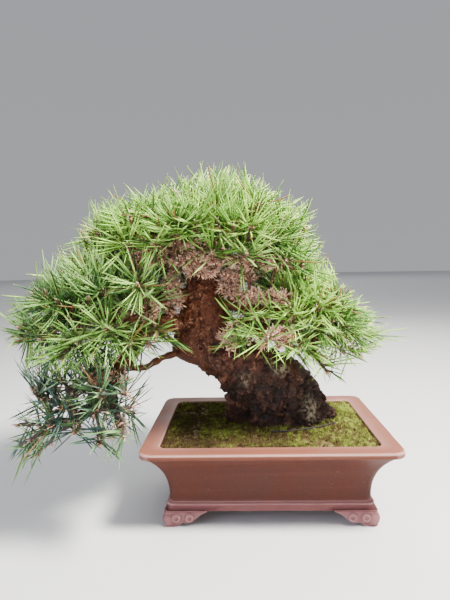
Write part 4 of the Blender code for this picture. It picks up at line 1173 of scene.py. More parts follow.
class BONSAI_OT_pot(Operator):
    """Make the clay pot with its flared lip, band and cloud feet"""
    bl_idname = "bonsai.pot"
    bl_label = "Clay pot"

    def execute(self, context):
        rings = [pot_ring(out, z) for out, z in pot_profile()]
        for ring in rings:
            for point in ring:
                wave = sum(noise.noise(point * often) * height for often, height in WALL_WAVES)
                flat = Vector((point.x, point.y, 0)).normalized()
                point += flat * wave
        bm = skin(rings)
        add_feet(bm)
        pot = finish_piece("clay_pot", bm, clay_finish(context.scene.bonsai_colours))
        self.drill(pot)
        self.mark_hollows(pot.data)
        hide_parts("pot")
        return {"FINISHED"}

    def mark_hollows(self, mesh):
        """Writes how hollow or how raised each place is, from 0 raised over 0.5 flat to 1 hollow."""
        bm = bmesh.new()
        bm.from_mesh(mesh)
        hollow = float_layer(bm, "hollow")
        for vert in bm.verts:
            near = [edge.other_vert(vert).co for edge in vert.link_edges]
            middle = sum(near, Vector()) / max(1, len(near))
            reach = sum((point - vert.co).length for point in near) / max(1, len(near))
            bend = (middle - vert.co).dot(vert.normal) / max(reach, 0.0001)
            vert[hollow] = 0.5 + bend * (reach < FINE_EDGE)
        bm.to_mesh(mesh)
        bm.free()

    def drill(self, pot):
        """Opens the drainage holes with one cylinder each."""
        drills = bmesh.new()
        for side in (-1, 1):
            at = Vector((side * HOLE_OFF_CENTRE, 0, FOOT_HEIGHT + FLOOR / 2)) + POT_CENTRE
            bmesh.ops.create_cone(
                drills, cap_ends=True, segments=HOLE_SIDES, radius1=HOLE_RADIUS, radius2=HOLE_RADIUS,
                depth=4 * FLOOR, matrix=Matrix.Translation(at))
        holder = new_object("drills", to_mesh(drills, "drills"))
        modifier = pot.modifiers.new("Holes", "BOOLEAN")
        modifier.operation = "DIFFERENCE"
        modifier.solver = "EXACT"
        modifier.use_self = True
        modifier.object = holder
        cut = evaluated(pot)
        pot.modifiers.clear()
        pot.data = cut
        cut.polygons.foreach_set("use_smooth", [True] * len(cut.polygons))
        bpy.data.meshes.remove(holder.data)


# Soil, drainage mesh and wire keep the solids' shapes

SOIL_DARK = (0.030, 0.018, 0.011)
SOIL_PALE = (0.120, 0.078, 0.045)
MESH_PLASTIC = (0.012, 0.012, 0.013)
WIRE_METAL = (0.010, 0.007, 0.006)


def soil_finish():
    finish = Finish("potting_soil", 0.95)
    grains = finish.node("TexVoronoi", {"Vector": finish.place, "Scale": 210}).outputs
    finish.base = finish.ramp(grains["Color"], ((0.2, SOIL_DARK), (0.8, SOIL_PALE)))
    return finish.done(grains["Distance"], 0.002, 0.8)


def plain_finish(name, colour, roughness, scale):
    """One dark colour with a fine grain."""
    finish = Finish(name, roughness)
    grain = finish.noise(scale, 2)
    finish.base = finish.mix(grain, colour, shaded(colour, 2.2))
    return finish.done(grain, 0.0002, 0.4)


class BONSAI_OT_ground(Operator):
    """Give the soil, the drainage mesh and the tie wire their finishes"""
    bl_idname = "bonsai.ground"
    bl_label = "Soil, mesh and wire"

    def execute(self, context):
        plastic = plain_finish("mesh_plastic", MESH_PLASTIC, 0.5, 400)
        wire = plain_finish("wire_metal", WIRE_METAL, 0.6, 700)
        finishes = {
            "soil": soil_finish(), "drain_mesh_left": plastic, "drain_mesh_right": plastic, "tie_wire": wire}
        for name, material in finishes.items():
            mesh = frame["nodes"][name].data
            mesh.materials.clear()
            mesh.materials.append(material)
        return {"FINISHED"}


# Moss

MOSS_OUT = inner_out(POT_HEIGHT - 0.004) - MOSS_INSET
MOSS_HALF_X = WAIST_LENGTH / 2 + MOSS_OUT
MOSS_HALF_Y = WAIST_WIDTH / 2 + MOSS_OUT
MOSS_CORNER = 0.010
MOSS_ROLL = 0.0042
MOSS_GRID = (170, 112)
# Cushions of moss: how often they come, per metre, how far they are pushed about, their height and shape
CUSHIONS = 85
CUSHION_WARP = (60, 0.004)
CUSHION_HEIGHT = 0.0022
CUSHION_STEEP = 1.6
CUSHION_LEVEL = 0.55
# Finer and broader waves over them: how often, which slice of the noise, and their height
MOSS_WAVES = ((420, 2.0, 0.0007), (55, 3.1, 0.0011))
# Painted shade: how wide a strip of moss along the pot's wall is darker, and the tone inside it
EDGE_SHADE = 0.006
EDGE_TONE = 0.22
# Tufts grow in patches, from a few shapes, each of some blades, with room to the pot's wall
TUFT_PATCHES = ((38, 5.0), (120, 9.0))
TUFT_CHANCE = (-0.9, 0.5)
TUFT_SHAPES = 10
TUFT_BLADES = 5
BLADE_RADIUS = 0.00062
BLADE_LENGTHS = (0.6, 1.0)
BLADE_LEANS = (0.3, 1.15)
BLADE_MERGE = 0.00001
TUFT_ROOM = (0.0018, 0.0016)
TUFT_SIZES = (0.7, 1.35)
TUFT_LEAN = 0.25
TUFT_SUNK = 0.0006
TUFT_TONE = 0.5
TUFT_TONE_STRAY = 0.45
TRUNK_CLEARING = (0.062, 0.040)
# Crumbs of soil: count, tone, room to the wall, the strip where most lie, the share left out past it, size
CRUMBS = 420
CRUMB_TONE = -1.5
CRUMB_ROOM = 0.0008
CRUMB_BAND = 0.005
CRUMBS_LEFT_OUT = 0.85
CRUMB_RISE = 0.0004
CRUMB_SIZES = (0.0006, 0.0014)


def flat_noise(x, y, often, level):
    return noise.noise(Vector((x * often, y * often, level)))


def mound(x, y):
    away = math.hypot((x - MOUND_CENTRE[0]) / MOUND_REACH[0], (y - MOUND_CENTRE[1]) / MOUND_REACH[1])
    return MOUND_EDGE + MOUND_RISE * (0.5 + 0.5 * math.cos(math.pi * min(1.0, away)))


def moss_height(x, y):
    """Top of the moss: cushions with small gaps between them, over the mound."""
    place = Vector((x, y, 0))
    warp = noise.noise_vector(place * CUSHION_WARP[0]) * CUSHION_WARP[1]
    near, _ = noise.voronoi((place + warp) * CUSHIONS)
    cushion = max(0.0, 1 - near[0] ** 2 * CUSHION_STEEP)
    top = mound(x, y) + CUSHION_HEIGHT * (cushion - CUSHION_LEVEL)
    for often, level, height in MOSS_WAVES:
        top += height * flat_noise(x, y, often, level)
    return top


def edge_room(x, y):
    """How far a place on the moss is from the pot's inner wall."""
    over_x = abs(x) - MOSS_HALF_X + MOSS_CORNER
    over_y = abs(y) - MOSS_HALF_Y + MOSS_CORNER
    return MOSS_CORNER - math.hypot(max(0.0, over_x), max(0.0, over_y)) - min(max(over_x, over_y), 0.0)


def moss_place(draw):
    """A place drawn on the moss, and its room to the pot's wall."""
    x, y = draw.uniform(-MOSS_HALF_X, MOSS_HALF_X), draw.uniform(-MOSS_HALF_Y, MOSS_HALF_Y)
    return x, y, edge_room(x, y)


def leaning(turn, lean):
    """A matrix that leans a shape over, then turns it round."""
    return Matrix.Rotation(turn, 4, "Z") @ Matrix.Rotation(lean, 4, "X")


def moss_finish(colours):
    finish = Finish("moss_green", 0.85, 0.25)
    fine = finish.noise(480, 3, 0.7)
    # Painted light, partly browner moss to the left: the moss lighter toward the right, where the light
    # falls, and darker to the left in the tree's shade
    level = finish.add(
        finish.noise(26, 4, 0.6, 0.4),
        finish.between(finish.axes["X"], -0.09, 0.10, -0.07, 0.30),
        finish.between(finish.axes["Y"], 0.04, -0.07, 0.00, -0.19),
        finish.times(finish.calc("SUBTRACT", finish.attribute("tone"), 0.5), 0.7),
        finish.between(fine, 0.3, 0.7, -0.16, 0.16),
        finish.between(finish.noise(150, 3, 0.6), 0.32, 0.68, -0.34, 0.24))
    finish.base = finish.ramp(level, (
        (0.10, shaded(colours.moss_dark, 0.70)), (0.32, colours.moss_dark), (0.62, colours.moss),
        (0.98, shaded(colours.moss, 2.7))))
    return finish.done(fine, 0.0012, 0.8)


def near_wire(x, y):
    """Whether a place lies on the wire's way over the moss."""
    route = [Vector((*point, 0)) for point in WIRE_ROUTE]
    place = Vector((x, y, 0))
    return any(place_gap(place, start, end) < WIRE_CLEAR for start, end in zip(route, route[1:]))


class BONSAI_OT_moss(Operator):
    """Make the moss: a carpet with cushions and gaps, and fine tufts over it"""
    bl_idname = "bonsai.moss"
    bl_label = "Moss"

    def execute(self, context):
        material = moss_finish(context.scene.bonsai_colours)
        carpet = finish_piece("moss_carpet", self.carpet(), material)
        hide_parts("moss")
        tufts = finish_piece("moss_tufts", self.tufts(context.scene.bonsai_sizes), material, smooth=False)
        return {"FINISHED"}

    def carpet(self):
        bm = bmesh.new()
        bmesh.ops.create_grid(bm, x_segments=MOSS_GRID[0], y_segments=MOSS_GRID[1], size=1)
        tone = float_layer(bm, "tone")
        for vert in bm.verts:
            x, y = vert.co.x * MOSS_HALF_X, vert.co.y * MOSS_HALF_Y
            room = edge_room(x, y)
            if room < 0:
                pull = Vector((
                    math.copysign(MOSS_HALF_X - MOSS_CORNER, x), math.copysign(MOSS_HALF_Y - MOSS_CORNER, y)))
                x, y = pull + (Vector((x, y)) - pull).normalized() * MOSS_CORNER
                room = 0.0
            drop = MOSS_ROLL * max(0.0, 1 - room / MOSS_ROLL) ** 2
            vert.co = (x, y, moss_height(x, y) - drop)
        bmesh.ops.recalc_face_normals(bm, faces=bm.faces)
        rim = bmesh.ops.extrude_edge_only(bm, edges=[edge for edge in bm.edges if edge.is_boundary])
        for vert in grown_verts(rim):
            vert.co.z = MOUND_EDGE - MOSS_THICK
        closed(bm)
        for vert in bm.verts:
            # Painted shade: the moss darker along the pot's wall
            inward = limited(edge_room(vert.co.x, vert.co.y) / EDGE_SHADE)
            vert[tone] = EDGE_TONE * inward * (vert.co.z > MOUND_EDGE - MOSS_THICK / 2)
        return bm

    def tufts(self, sizes):
        """Small tufts of three-sided blades, set over the carpet by a rule."""
        draw = random.Random(FINE_SEED + 2)
        shapes = [self.tuft(draw, sizes.moss_blade) for _ in range(TUFT_SHAPES)]
        bm = bmesh.new()
        float_layer(bm, "tone")
        trunk = station_middles()[2]
        placed = 0
        while placed < sizes.moss_tufts:
            x, y, room = moss_place(draw)
            thick = sum(flat_noise(x, y, often, level) for often, level in TUFT_PATCHES)
            if room < TUFT_ROOM[0] + TUFT_ROOM[1] * draw.random() or thick < draw.uniform(*TUFT_CHANCE):
                continue
            away = math.hypot((x - trunk.x) / TRUNK_CLEARING[0], (y - trunk.y) / TRUNK_CLEARING[1])
            if away < 1 or near_wire(x, y):
                continue
            placed += 1
            size = draw.uniform(*TUFT_SIZES)
            at = Matrix.Translation((x, y, moss_height(x, y) - TUFT_SUNK))
            turn = leaning(draw.uniform(0, FULL_TURN), draw.gauss(0, TUFT_LEAN))
            copy = draw.choice(shapes).copy()
            copy.transform(at @ turn @ Matrix.Scale(size, 4))
            shade = limited(TUFT_TONE + 0.5 * thick + wobble(draw, TUFT_TONE_STRAY))
            copy.attributes["tone"].data.foreach_set("value", [shade] * len(copy.vertices))
            bm.from_mesh(copy)
            bpy.data.meshes.remove(copy)
        for mesh in shapes:
            bpy.data.meshes.remove(mesh)
        self.crumbs(bm, draw)
        return bm

    def crumbs(self, bm, draw):
        """Small dark crumbs of soil, most of them along the pot's inner edge."""
        placed = 0
        while placed < CRUMBS:
            x, y, room = moss_place(draw)
            if room < CRUMB_ROOM or (room > CRUMB_BAND and draw.random() < CRUMBS_LEFT_OUT):
                continue
            placed += 1
            sizes = Vector(draw.uniform(*CRUMB_SIZES) for _ in range(3))
            crumb = ball((x, y, moss_height(x, y) + CRUMB_RISE), sizes, 1)
            tone = float_layer(crumb, "tone")
            for vert in crumb.verts:
                vert[tone] = CRUMB_TONE
            join(bm, crumb)

    def tuft(self, draw, length):
        bm = bmesh.new()
        float_layer(bm, "tone")
        for _ in range(TUFT_BLADES):
            reach = length * draw.uniform(*BLADE_LENGTHS)
            lean = draw.uniform(*BLADE_LEANS)
            turn = leaning(draw.uniform(0, FULL_TURN), lean)
            bmesh.ops.create_cone(
                bm, segments=3, radius1=BLADE_RADIUS, radius2=0, depth=reach,
                matrix=turn @ Matrix.Translation((0, 0, reach / 2)))
        bmesh.ops.remove_doubles(bm, verts=bm.verts, dist=BLADE_MERGE)
        return to_mesh(bm, "tuft")


# Wood

def trunk_rings(sides, steps):
    """Sections of the trunk without its bark, as rings around a line that leans and turns with it."""
    edges = [
        (Vector((left[0], mid, left[1])), Vector((right[0], mid, right[1])), Vector((0, half, 0)))
        for left, right, mid, half in TRUNK_STATIONS
    ]
    columns = [list(column) for column in zip(*edges)]
    rings = []
    for step in range((len(edges) - 1) * steps + 1):
        left, right, depth = (spline(column, step / steps) for column in columns)
        centre = (left + right) / 2
        across = (right - left) / 2
        spread = ROOT_LOBE_SHARE * max(0.0, (ROOT_TOP - centre.z) / (ROOT_TOP - TRUNK_STATIONS[2][0][1]))
        spread *= limited(step / steps - ROOT_START)
        ring = []
        for side in range(sides):
            angle = 2 * math.pi * side / sides
            reach = across * math.cos(angle) + depth * math.sin(angle)
            lobe = math.cos(ROOT_LOBES * angle + ROOT_TURN) - ROOT_SUNK
            ring.append(centre + reach * (1 + spread * lobe))
        rings.append(ring)
    return rings


def girths():
    """A search tree over the middle lines of trunk and boughs, and the girth at each of its points."""
    found = []
    middles = station_middles()
    for step in range(GIRTH_STEPS * (len(middles) - 1)):
        at = step / GIRTH_STEPS
        left, right, _, half = TRUNK_STATIONS[min(round(at), len(TRUNK_STATIONS) - 1)]
        found.append((spline(middles, at), (half_width(left, right) + half) / 2))
    for name, (start, end, _) in BOUGHS.items():
        points = bough_points(name, BOUGH_GIRTH_STEPS)
        found += list(zip(points, tapered(start, end, len(points))))
    tree = KDTree(len(found))
    for index, (point, _) in enumerate(found):
        tree.insert(point, index)
    tree.balance()
    return tree, [girth for _, girth in found]


def bark_plate(point, across, along):
    """Height of one layer of plates, how far inside its plate a place is, and the plate's own shade."""
    stretched = Vector((point.x * across, point.y * across, point.z * along))
    warped = stretched + noise.noise_vector(point * across * PLATE_WARP) * WARP_REACH
    near, cells = noise.voronoi(warped)
    inside = min(1.0, (near[1] - near[0]) / PLATE_EDGE)
    shade = noise.noise(cells[0] * SHADE_SPOT)
    tilt = noise.noise_vector(cells[0] * TILT_SPOT).dot(warped - cells[0])
    height = PLATE_DOME * (inside - BARK_MIDDLE) + inside * (PLATE_STEP * shade + PLATE_TILT * tilt)
    return height, inside, shade


def bark_height(point, girth, deep):
    """Height of the bark, how far inside its plate a place is, and the plate's own shade.

    The solids' furrows and cracks come first, then plates that each have a step and a tilt, and thin flakes.
    """
    x, y, z = point
    furrow = abs(noise.noise(Vector((x * FURROW_ACROSS, y * FURROW_ACROSS, z * FURROW_ALONG))))
    crack = abs(noise.noise(Vector((x * CRACK_ACROSS, y * CRACK_ACROSS + CRACK_SLICE, z * CRACK_ALONG))))
    coarse = min(1.0, furrow * FURROW_GAIN) - BARK_MIDDLE
    coarse += CRACK_SHARE * (min(1.0, crack * CRACK_GAIN) - BARK_MIDDLE)
    fineness = limited((z - PLATES_CHANGE[0]) / (PLATES_CHANGE[1] - PLATES_CHANGE[0]))
    large = bark_plate(point, PLATES_ACROSS, PLATES_ALONG)
    fine = bark_plate(point, *FINE_PLATES)
    plates, inside, shade = (a + (b - a) * fineness for a, b in zip(large, fine))
    small, bits = noise.voronoi(point * FLAKES + noise.noise_vector(point * FLAKE_WARP) * WARP_REACH)
    flake = noise.noise(bits[0] * FLAKE_SPOT) * min(1.0, (small[1] - small[0]) / FLAKE_EDGE)
    height = COARSE_SHARE * coarse + plates + FLAKE_SHARE * flake
    return min(deep, BARK_GIRTH_SHARE * girth) * height, inside, shade + flake


BARK_PALE = (0.135, 0.058, 0.035)
BARK_PALE_WARM = (0.520, 0.235, 0.130)
FURROW = (0.005, 0.003, 0.002)
FURROW_WARM = (0.030, 0.009, 0.004)
# Pale lichen on the bark: its colour, and each spot's place, reach and strength
LICHEN = (0.42, 0.37, 0.25)
LICHEN_SPOTS = (
    ((0.004, -0.036, 0.200), 0.020, 0.9),
    ((0.022, -0.034, 0.180), 0.018, 0.9),
    ((0.064, -0.030, 0.124), 0.024, 0.8),
    ((-0.028, -0.040, 0.160), 0.016, 0.4),
    ((-0.040, -0.036, 0.240), 0.012, 0.5),
)


def bark_finish(colours):
    finish = Finish("pine_bark", specular=0.35)
    relief, tone, inside = (finish.attribute(name) for name in ("relief", "tone", "plate"))
    fine = finish.noise(420, 4, 0.65, 0.3)
    patches = finish.between(finish.noise(34, 3, 0.6), 0.3, 0.7, -0.3, 0.3)
    warm = finish.add(finish.between(finish.axes["Z"], 0.150, 0.250), patches)
    pale = finish.mix(warm, BARK_PALE, BARK_PALE_WARM)
    solid = finish.times(finish.between(relief, 0.18, 0.50), finish.between(inside, 0.0, 0.55, 0.2, 1.0))
    finish.base = finish.mix(warm, colours.bark_dark, colours.bark_warm)
    plates = finish.times(finish.between(tone, 0.06, 0.38), finish.between(fine, 0.44, 0.56, 0.0, 0.8))
    finish.coat(pale, plates)
    ridges = finish.times(finish.between(relief, 0.62, 0.85), finish.between(fine, 0.45, 0.6, 0.0, 0.6))
    finish.coat(pale, ridges)
    finish.base = finish.mix(solid, finish.mix(warm, FURROW, FURROW_WARM), finish.base)
    grain = finish.between(finish.noise(190, 3, 0.7), 0.47, 0.56)
    for spot, reach, strength in LICHEN_SPOTS:
        away = finish.node("VectorMath", {0: finish.place, 1: spot}, operation="DISTANCE").outputs["Value"]
        finish.coat(LICHEN, finish.times(finish.between(away, reach, reach * 0.3, 0.0, strength), grain))
    finish.tree.links.new(finish.between(fine, 0.3, 0.7, 0.42, 0.75), finish.shader.inputs["Roughness"])
    return finish.done(fine, 0.0016, 0.9)


class BONSAI_OT_wood(Operator):
    """Make trunk and boughs as one grown piece, with plates of bark and deep furrows"""
    bl_idname = "bonsai.wood"
    bl_label = "Trunk and boughs"

    def execute(self, context):
        sizes = context.scene.bonsai_sizes
        bm = remeshed(skin(trunk_rings(TRUNK_SIDES, TRUNK_STEPS)), sizes.bark_cell)
        for name, (start, end, _) in BOUGHS.items():
            points = bough_points(name, BOUGH_FINE_STEPS)
            join(bm, tube(points, tapered(start, end, len(points)), BOUGH_SIDES, BOUGH_KNOBS, KNOBS_OFTEN))
        self.add_bark(bm, sizes.bark_depth)
        wood = finish_piece("pine_wood", bm, bark_finish(context.scene.bonsai_colours))
        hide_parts("tree")
        return {"FINISHED"}

    def add_bark(self, bm, depth):
        relief, plate, tone = (float_layer(bm, name) for name in ("relief", "plate", "tone"))
        tree, girth_at = girths()
        bm.normal_update()
        moves = []
        for vert in bm.verts:
            girth = girth_at[tree.find(vert.co)[1]]
            rough = limited((vert.co.z - BARK_START) / BARK_FADE)
            height, inside, shade = bark_height(vert.co, girth, depth)
            vert[relief] = 0.5 + RELIEF_GAIN * height / min(depth, BARK_GIRTH_SHARE * girth)
            vert[plate] = inside
            vert[tone] = shade - THIN_DARKER * (girth < THIN_WOOD)
            moves.append(vert.normal * height * rough)
        for vert, move in zip(bm.verts, moves):
            vert.co += move
            vert.co.z = max(vert.co.z, TREE_FOOT)


# Needles

# Sections of a needle: how far along it, and their share of its width
NEEDLE_SHARES = ((0.0, 0.60), (0.22, 0.95), (0.72, 1.0), (1.0, 0.10))
NEEDLE_SHAPES = 14
NEEDLE_FLAT = 0.75
NEEDLE_BEND = 0.12
NEEDLE_SWAY = 0.03
# Pairs along a shoot: where the first sits, how far on the last is, and how they crowd toward the tip
PAIRS_FROM = 0.10
PAIRS_SPAN = 0.88
PAIRS_CROWD = 0.9
# The turn from pair to pair. Needles lean from their shoot's foot by degrees, and by less toward its tip
SPIRAL_TURN = 2.39996
SPIRAL_STRAY = 0.3
LEAN_FOOT = 76
LEAN_LESS = 54
LEAN_CURVE = 1.2
LEAN_STRAY = 0.20
# How far the two of a pair spread, how long needles are, and how much shorter at the shoot's foot
SPLAY = (0.03, 0.11)
LENGTHS = (0.80, 1.08)
FOOT_SHORTER = 0.10
TIP_CLEAR = 1.02
TWIST = 0.6
# How full tufts are, then the least and the span of a needle's tone, and what shifts it: a random stray,
# painted light on shoots that face up, and painted shade deep inside a pad, partly for older needles
FULLNESS = (0.85, 1.15)
ADDED_FULLNESS = 0.9
FALL_FULLNESS = 0.8
TONE_FROM = 0.06
TONE_SPAN = 0.88
TONE_STRAY = 0.15
PAINTED_LIGHT_UPWARD = 0.22
PAINTED_SHADE_INSIDE = -1.2
COOL_SPREAD = 0.16
# Needles that would end this low over the pot, within this reach to front and back, are left out
POT_ROOM = 0.012
POT_REACH = 0.11
# How far back bare places reach, and where along a needle they are looked for
BARE_DEPTH = 0.012
LOOKED_AT = (0.35, 0.7, 1.0)
# Dead needles: the tone that marks them and their share
DEAD_TONE = 2.0
DEAD_SHARE = 0.035
# How far each pad's needles turn to blue green: partly the needles' own tone, partly painted shade, most on
# the lowest bough under the crown
COOL = {"crown": 0.12, "left": 0.36, "fall": 0.86, "right": 0.08}


def needle_shape(draw, width):
    """One slim, slightly curved needle, one long, along +Z and bending to +X. Its attribute runs with it."""
    bm = bmesh.new()
    bmesh.ops.create_cone(
        bm, cap_ends=True, segments=4, radius1=1, radius2=1, depth=1, matrix=Matrix.Translation((0, 0, 0.5)))
    lengthwise = [line for line in bm.edges if abs(line.verts[0].co.z - line.verts[1].co.z) > 0.5]
    bmesh.ops.subdivide_edges(bm, edges=lengthwise, cuts=2)
    along, _, edge = (float_layer(bm, name) for name in ("along", "tone", "edge"))
    bend = draw.uniform(0, NEEDLE_BEND)
    sway = wobble(draw, NEEDLE_SWAY)
    for vert in bm.verts:
        level = round(vert.co.z * (len(NEEDLE_SHARES) - 1))
        share, thick = NEEDLE_SHARES[level]
        vert[along] = share
        vert[edge] = float(vert.co.x > 0.5)
        vert.co.x = vert.co.x * thick * width / 2 + bend * share ** 2
        vert.co.y = vert.co.y * thick * width / 2 * NEEDLE_FLAT + sway * share ** 2
        vert.co.z = share
    return to_mesh(bm, "needle")


def turned_to(direction):
    return direction.to_track_quat("Z", "Y").to_matrix().to_4x4()


def seen_from_front(point):
    """Where a point is seen from the camera, as x and height on the pot's middle plane."""
    seen = CAMERA_PLACE + (point - CAMERA_PLACE) * (CAMERA_PLACE.y / (CAMERA_PLACE.y - point.y))
    return seen.x, seen.z


def line_height(line, x):
    """Height of an outline at x, straight between its points."""
    for (x0, z0), (x1, z1) in zip(line, line[1:]):
        if x0 <= x < x1:
            return z0 + (z1 - z0) * (x - x0) / (x1 - x0)
    return line[0][1] if x < line[0][0] else line[-1][1]


def fits_in(pad, root, tip, draw):
    """Whether a needle stays within the foliage's outline and out of the bare places under the crown."""
    x, z = seen_from_front(tip)
    slack = draw.gauss(OUTLINE_SLACK, OUTLINE_SPREAD)
    if not max(line_height(OUTLINE_LOW, x), LOWEST[pad]) - slack < z < line_height(OUTLINE_TOP, x) + slack:
        return False
    if x < line_height(OUTLINE_LEFT, z) - LEFT_SLACK - 0.5 * slack:
        return False
    for share in LOOKED_AT:
        point = root.lerp(tip, share)
        x, z = seen_from_front(point)
        for x0, x1, z0, z1, kept in BARE_PLACES:
            if point.y < BARE_DEPTH and x0 < x < x1 and z0 < z < z1:
                return draw.random() < kept
    return True


def inner_shade(pad, place):
    """Painted shade, partly for older needles: how much darker a shoot's needles are the further it sits
    inside its pad.
    """
    middle, sizes = PADS[pad][:2]
    depth = 1 - math.sqrt(sum(((place[k] - middle[k]) / sizes[k]) ** 2 for k in range(3)))
    return PAINTED_SHADE_INSIDE * min(0.5, max(0.0, depth))


def low_over_pot(tip):
    return tip.z < POT_HEIGHT + POT_ROOM and abs(tip.x) < RIM_LENGTH / 2 and abs(tip.y) < POT_REACH


def needle_matrix(root, along, facing, length, draw):
    """Sets a needle on its root, with its bend turned toward the shoot's tip, more or less."""
    inward = (facing - along * facing.dot(along)).normalized()
    swing = inward.cross(along).normalized()
    inward = (inward + swing * wobble(draw, TWIST)).normalized()
    cross = along.cross(inward).normalized()
    inward = cross.cross(along)
    turn = Matrix((inward, cross, along)).transposed().to_4x4()
    return Matrix.Translation(root) @ turn @ Matrix.Diagonal((length, length, length, 1))


def tuft_of_needles(draw, shoot, shapes, sizes, wood):
    """The needles of one shoot, in pairs, on a spiral that closes toward the shoot's tip."""
    pad, place, facing, _, number = shoot
    fullness = draw.uniform(*FULLNESS) * (1.0 if number else ADDED_FULLNESS)
    fullness *= FALL_FULLNESS if pad == "fall" else 1.0
    # Painted light on shoots that face up; painted shade, partly older needles, deep inside a pad
    shift = wobble(draw, TONE_STRAY) + PAINTED_LIGHT_UPWARD * facing.z + inner_shade(pad, place)
    bm = bmesh.new()
    tone = float_layer(bm, "tone")
    side, other = frame_along([place, place + facing])[0]
    pairs = round(sizes.pairs * fullness)
    start = draw.uniform(0, FULL_TURN)
    for pair in range(pairs):
        share = (pair + 0.5) / pairs
        root = place + facing * SHOOT_LENGTH * (PAIRS_FROM + PAIRS_SPAN * share ** PAIRS_CROWD)
        angle = start + pair * SPIRAL_TURN + wobble(draw, SPIRAL_STRAY)
        lean = math.radians(LEAN_FOOT - LEAN_LESS * share ** LEAN_CURVE) + wobble(draw, LEAN_STRAY)
        middle = around(facing, around(side, other, angle), lean)
        splay = draw.uniform(*SPLAY)
        across = middle.cross(stray(draw, 1)).normalized()
        length = sizes.needle_length * draw.uniform(*LENGTHS) * (1 - FOOT_SHORTER + FOOT_SHORTER * share)
        shade = TONE_FROM + TONE_SPAN * draw.random() + shift
        for turn in (-1, 1):
            along = (middle + across * splay * turn).normalized()
            tip = root + along * length * TIP_CLEAR
            if wood.ray_cast(root, along, length * TIP_CLEAR)[0] is not None:
                continue
            if not fits_in(pad, root, tip, draw) or low_over_pot(tip):
                continue
            matrix = needle_matrix(root, along, facing, length, draw)
            first = len(bm.verts)
            bm.from_mesh(draw.choice(shapes))
            bm.verts.ensure_lookup_table()
            fresh = bm.verts[first:]
            bmesh.ops.transform(bm, matrix=matrix, verts=fresh)
            value = limited(shade + wobble(draw, TONE_STRAY))
            value = DEAD_TONE if draw.random() < DEAD_SHARE else value
            for vert in fresh:
                vert[tone] = value
    return bm


NEEDLE_BRIGHT = (0.480, 0.760, 0.140)
NEEDLE_DEEP = (0.010, 0.026, 0.020)
NEEDLE_BLUE_BRIGHT = (0.200, 0.330, 0.230)
NEEDLE_TIP = (0.420, 0.450, 0.120)
NEEDLE_ROOT_SHADE = (0.010, 0.034, 0.005)
NEEDLE_DEAD = (0.260, 0.130, 0.055)
SHEATH_DARK = (0.200, 0.085, 0.050)
SHEATH_PALE = (0.360, 0.330, 0.160)
# Painted highlight, partly the needle's paler inner face: how much brighter the edge is that faces the
# shoot's tip
EDGE_LIFT = (1.50, 1.42, 1.45)
NEEDLE_GLOSS = (0.80, 1.0, 0.55, 1)


def needle_finish(colours):
    finish = Finish("pine_needles", 0.30, 0.3)
    finish.shader.inputs["Specular Tint"].default_value = NEEDLE_GLOSS
    along, tone = finish.attribute("along"), finish.attribute("tone")
    patches = finish.between(finish.noise(22, 2), 0.3, 0.7, -0.24, 0.24)
    # Painted light: needles toward the right and the front lighter, where the light falls
    right = finish.between(finish.axes["X"], -0.04, 0.03, 0.0, 0.11)
    front = finish.between(finish.axes["Y"], 0.02, -0.03)
    low = finish.between(finish.axes["Z"], 0.30, 0.26, 0.0, 0.08)
    level = finish.add(tone, patches, finish.times(right, front), low)
    fresh = finish.ramp(level, ((0.0, colours.needle_old), (0.50, colours.needle), (1.0, NEEDLE_BRIGHT)))
    blue = finish.ramp(level, ((0.0, NEEDLE_DEEP), (0.6, colours.needle_blue), (1.0, NEEDLE_BLUE_BRIGHT)))
    finish.base = finish.mix(finish.attribute("cool"), fresh, blue)
    finish.coat(NEEDLE_TIP, finish.between(along, 0.80, 1.0, 0.0, 0.35))
    # Painted shade: each needle darker toward its root, in the middle of its shoot
    finish.coat(NEEDLE_ROOT_SHADE, finish.between(along, 0.62, 0.14, 0.0, 0.80))
    # Painted highlight, partly a paler face, along one edge of each needle
    lifted = finish.mix(1.0, finish.base, EDGE_LIFT, "MULTIPLY")
    finish.coat(lifted, finish.times(finish.attribute("edge"), 0.8))
    finish.coat(NEEDLE_DEAD, finish.between(tone, 1.3, 1.6))
    sheath = finish.ramp(along, ((0.03, SHEATH_DARK), (0.10, SHEATH_PALE)))
    finish.base = finish.mix(finish.between(along, 0.06, 0.15), sheath, finish.base)
    return finish.done()


def wood_surface():
    """The finished trunk and boughs, in the pot's frame, to keep needles out of them."""
    piece = bpy.data.objects["pine_wood"]
    bm = bmesh.new()
    bm.from_mesh(piece.data)
    bmesh.ops.translate(bm, verts=bm.verts, vec=-POT_CENTRE)
    found = BVHTree.FromBMesh(bm)
    bm.free()
    return found


class BONSAI_OT_needles(Operator):
    """Make the needles of every shoot, a piece for each pad of foliage"""
    bl_idname = "bonsai.needles"
    bl_label = "Needles"

    def execute(self, context):
        sizes = context.scene.bonsai_sizes
        draw = random.Random(FINE_SEED + 1)
        shapes = [needle_shape(draw, sizes.needle_width / sizes.needle_length) for _ in range(NEEDLE_SHAPES)]
        material = needle_finish(context.scene.bonsai_colours)
        wood = wood_surface()
        shoots = fine_shoots(sizes.needle_length)
        for pad in PADS:
            bm = bmesh.new()
            counts = []
            own = [shoot for shoot in shoots if shoot[0] == pad]
            for shoot in own:
                tuft = tuft_of_needles(draw, shoot, shapes, sizes, wood)
                counts.append((len(tuft.verts), limited(COOL[pad] + draw.gauss(0, COOL_SPREAD))))
                join(bm, tuft)
            piece = finish_piece("needles_" + pad, bm, material)
            values = [value for count, value in counts for _ in range(count)]
            layer = piece.data.attributes.new("cool", "FLOAT", "POINT")
            layer.data.foreach_set("value", values)
            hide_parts(*(f"spray_{number:02d}" for *_, number in own if number))
        for mesh in shapes:
            bpy.data.meshes.remove(mesh)
        return {"FINISHED"}


# Twigs and buds

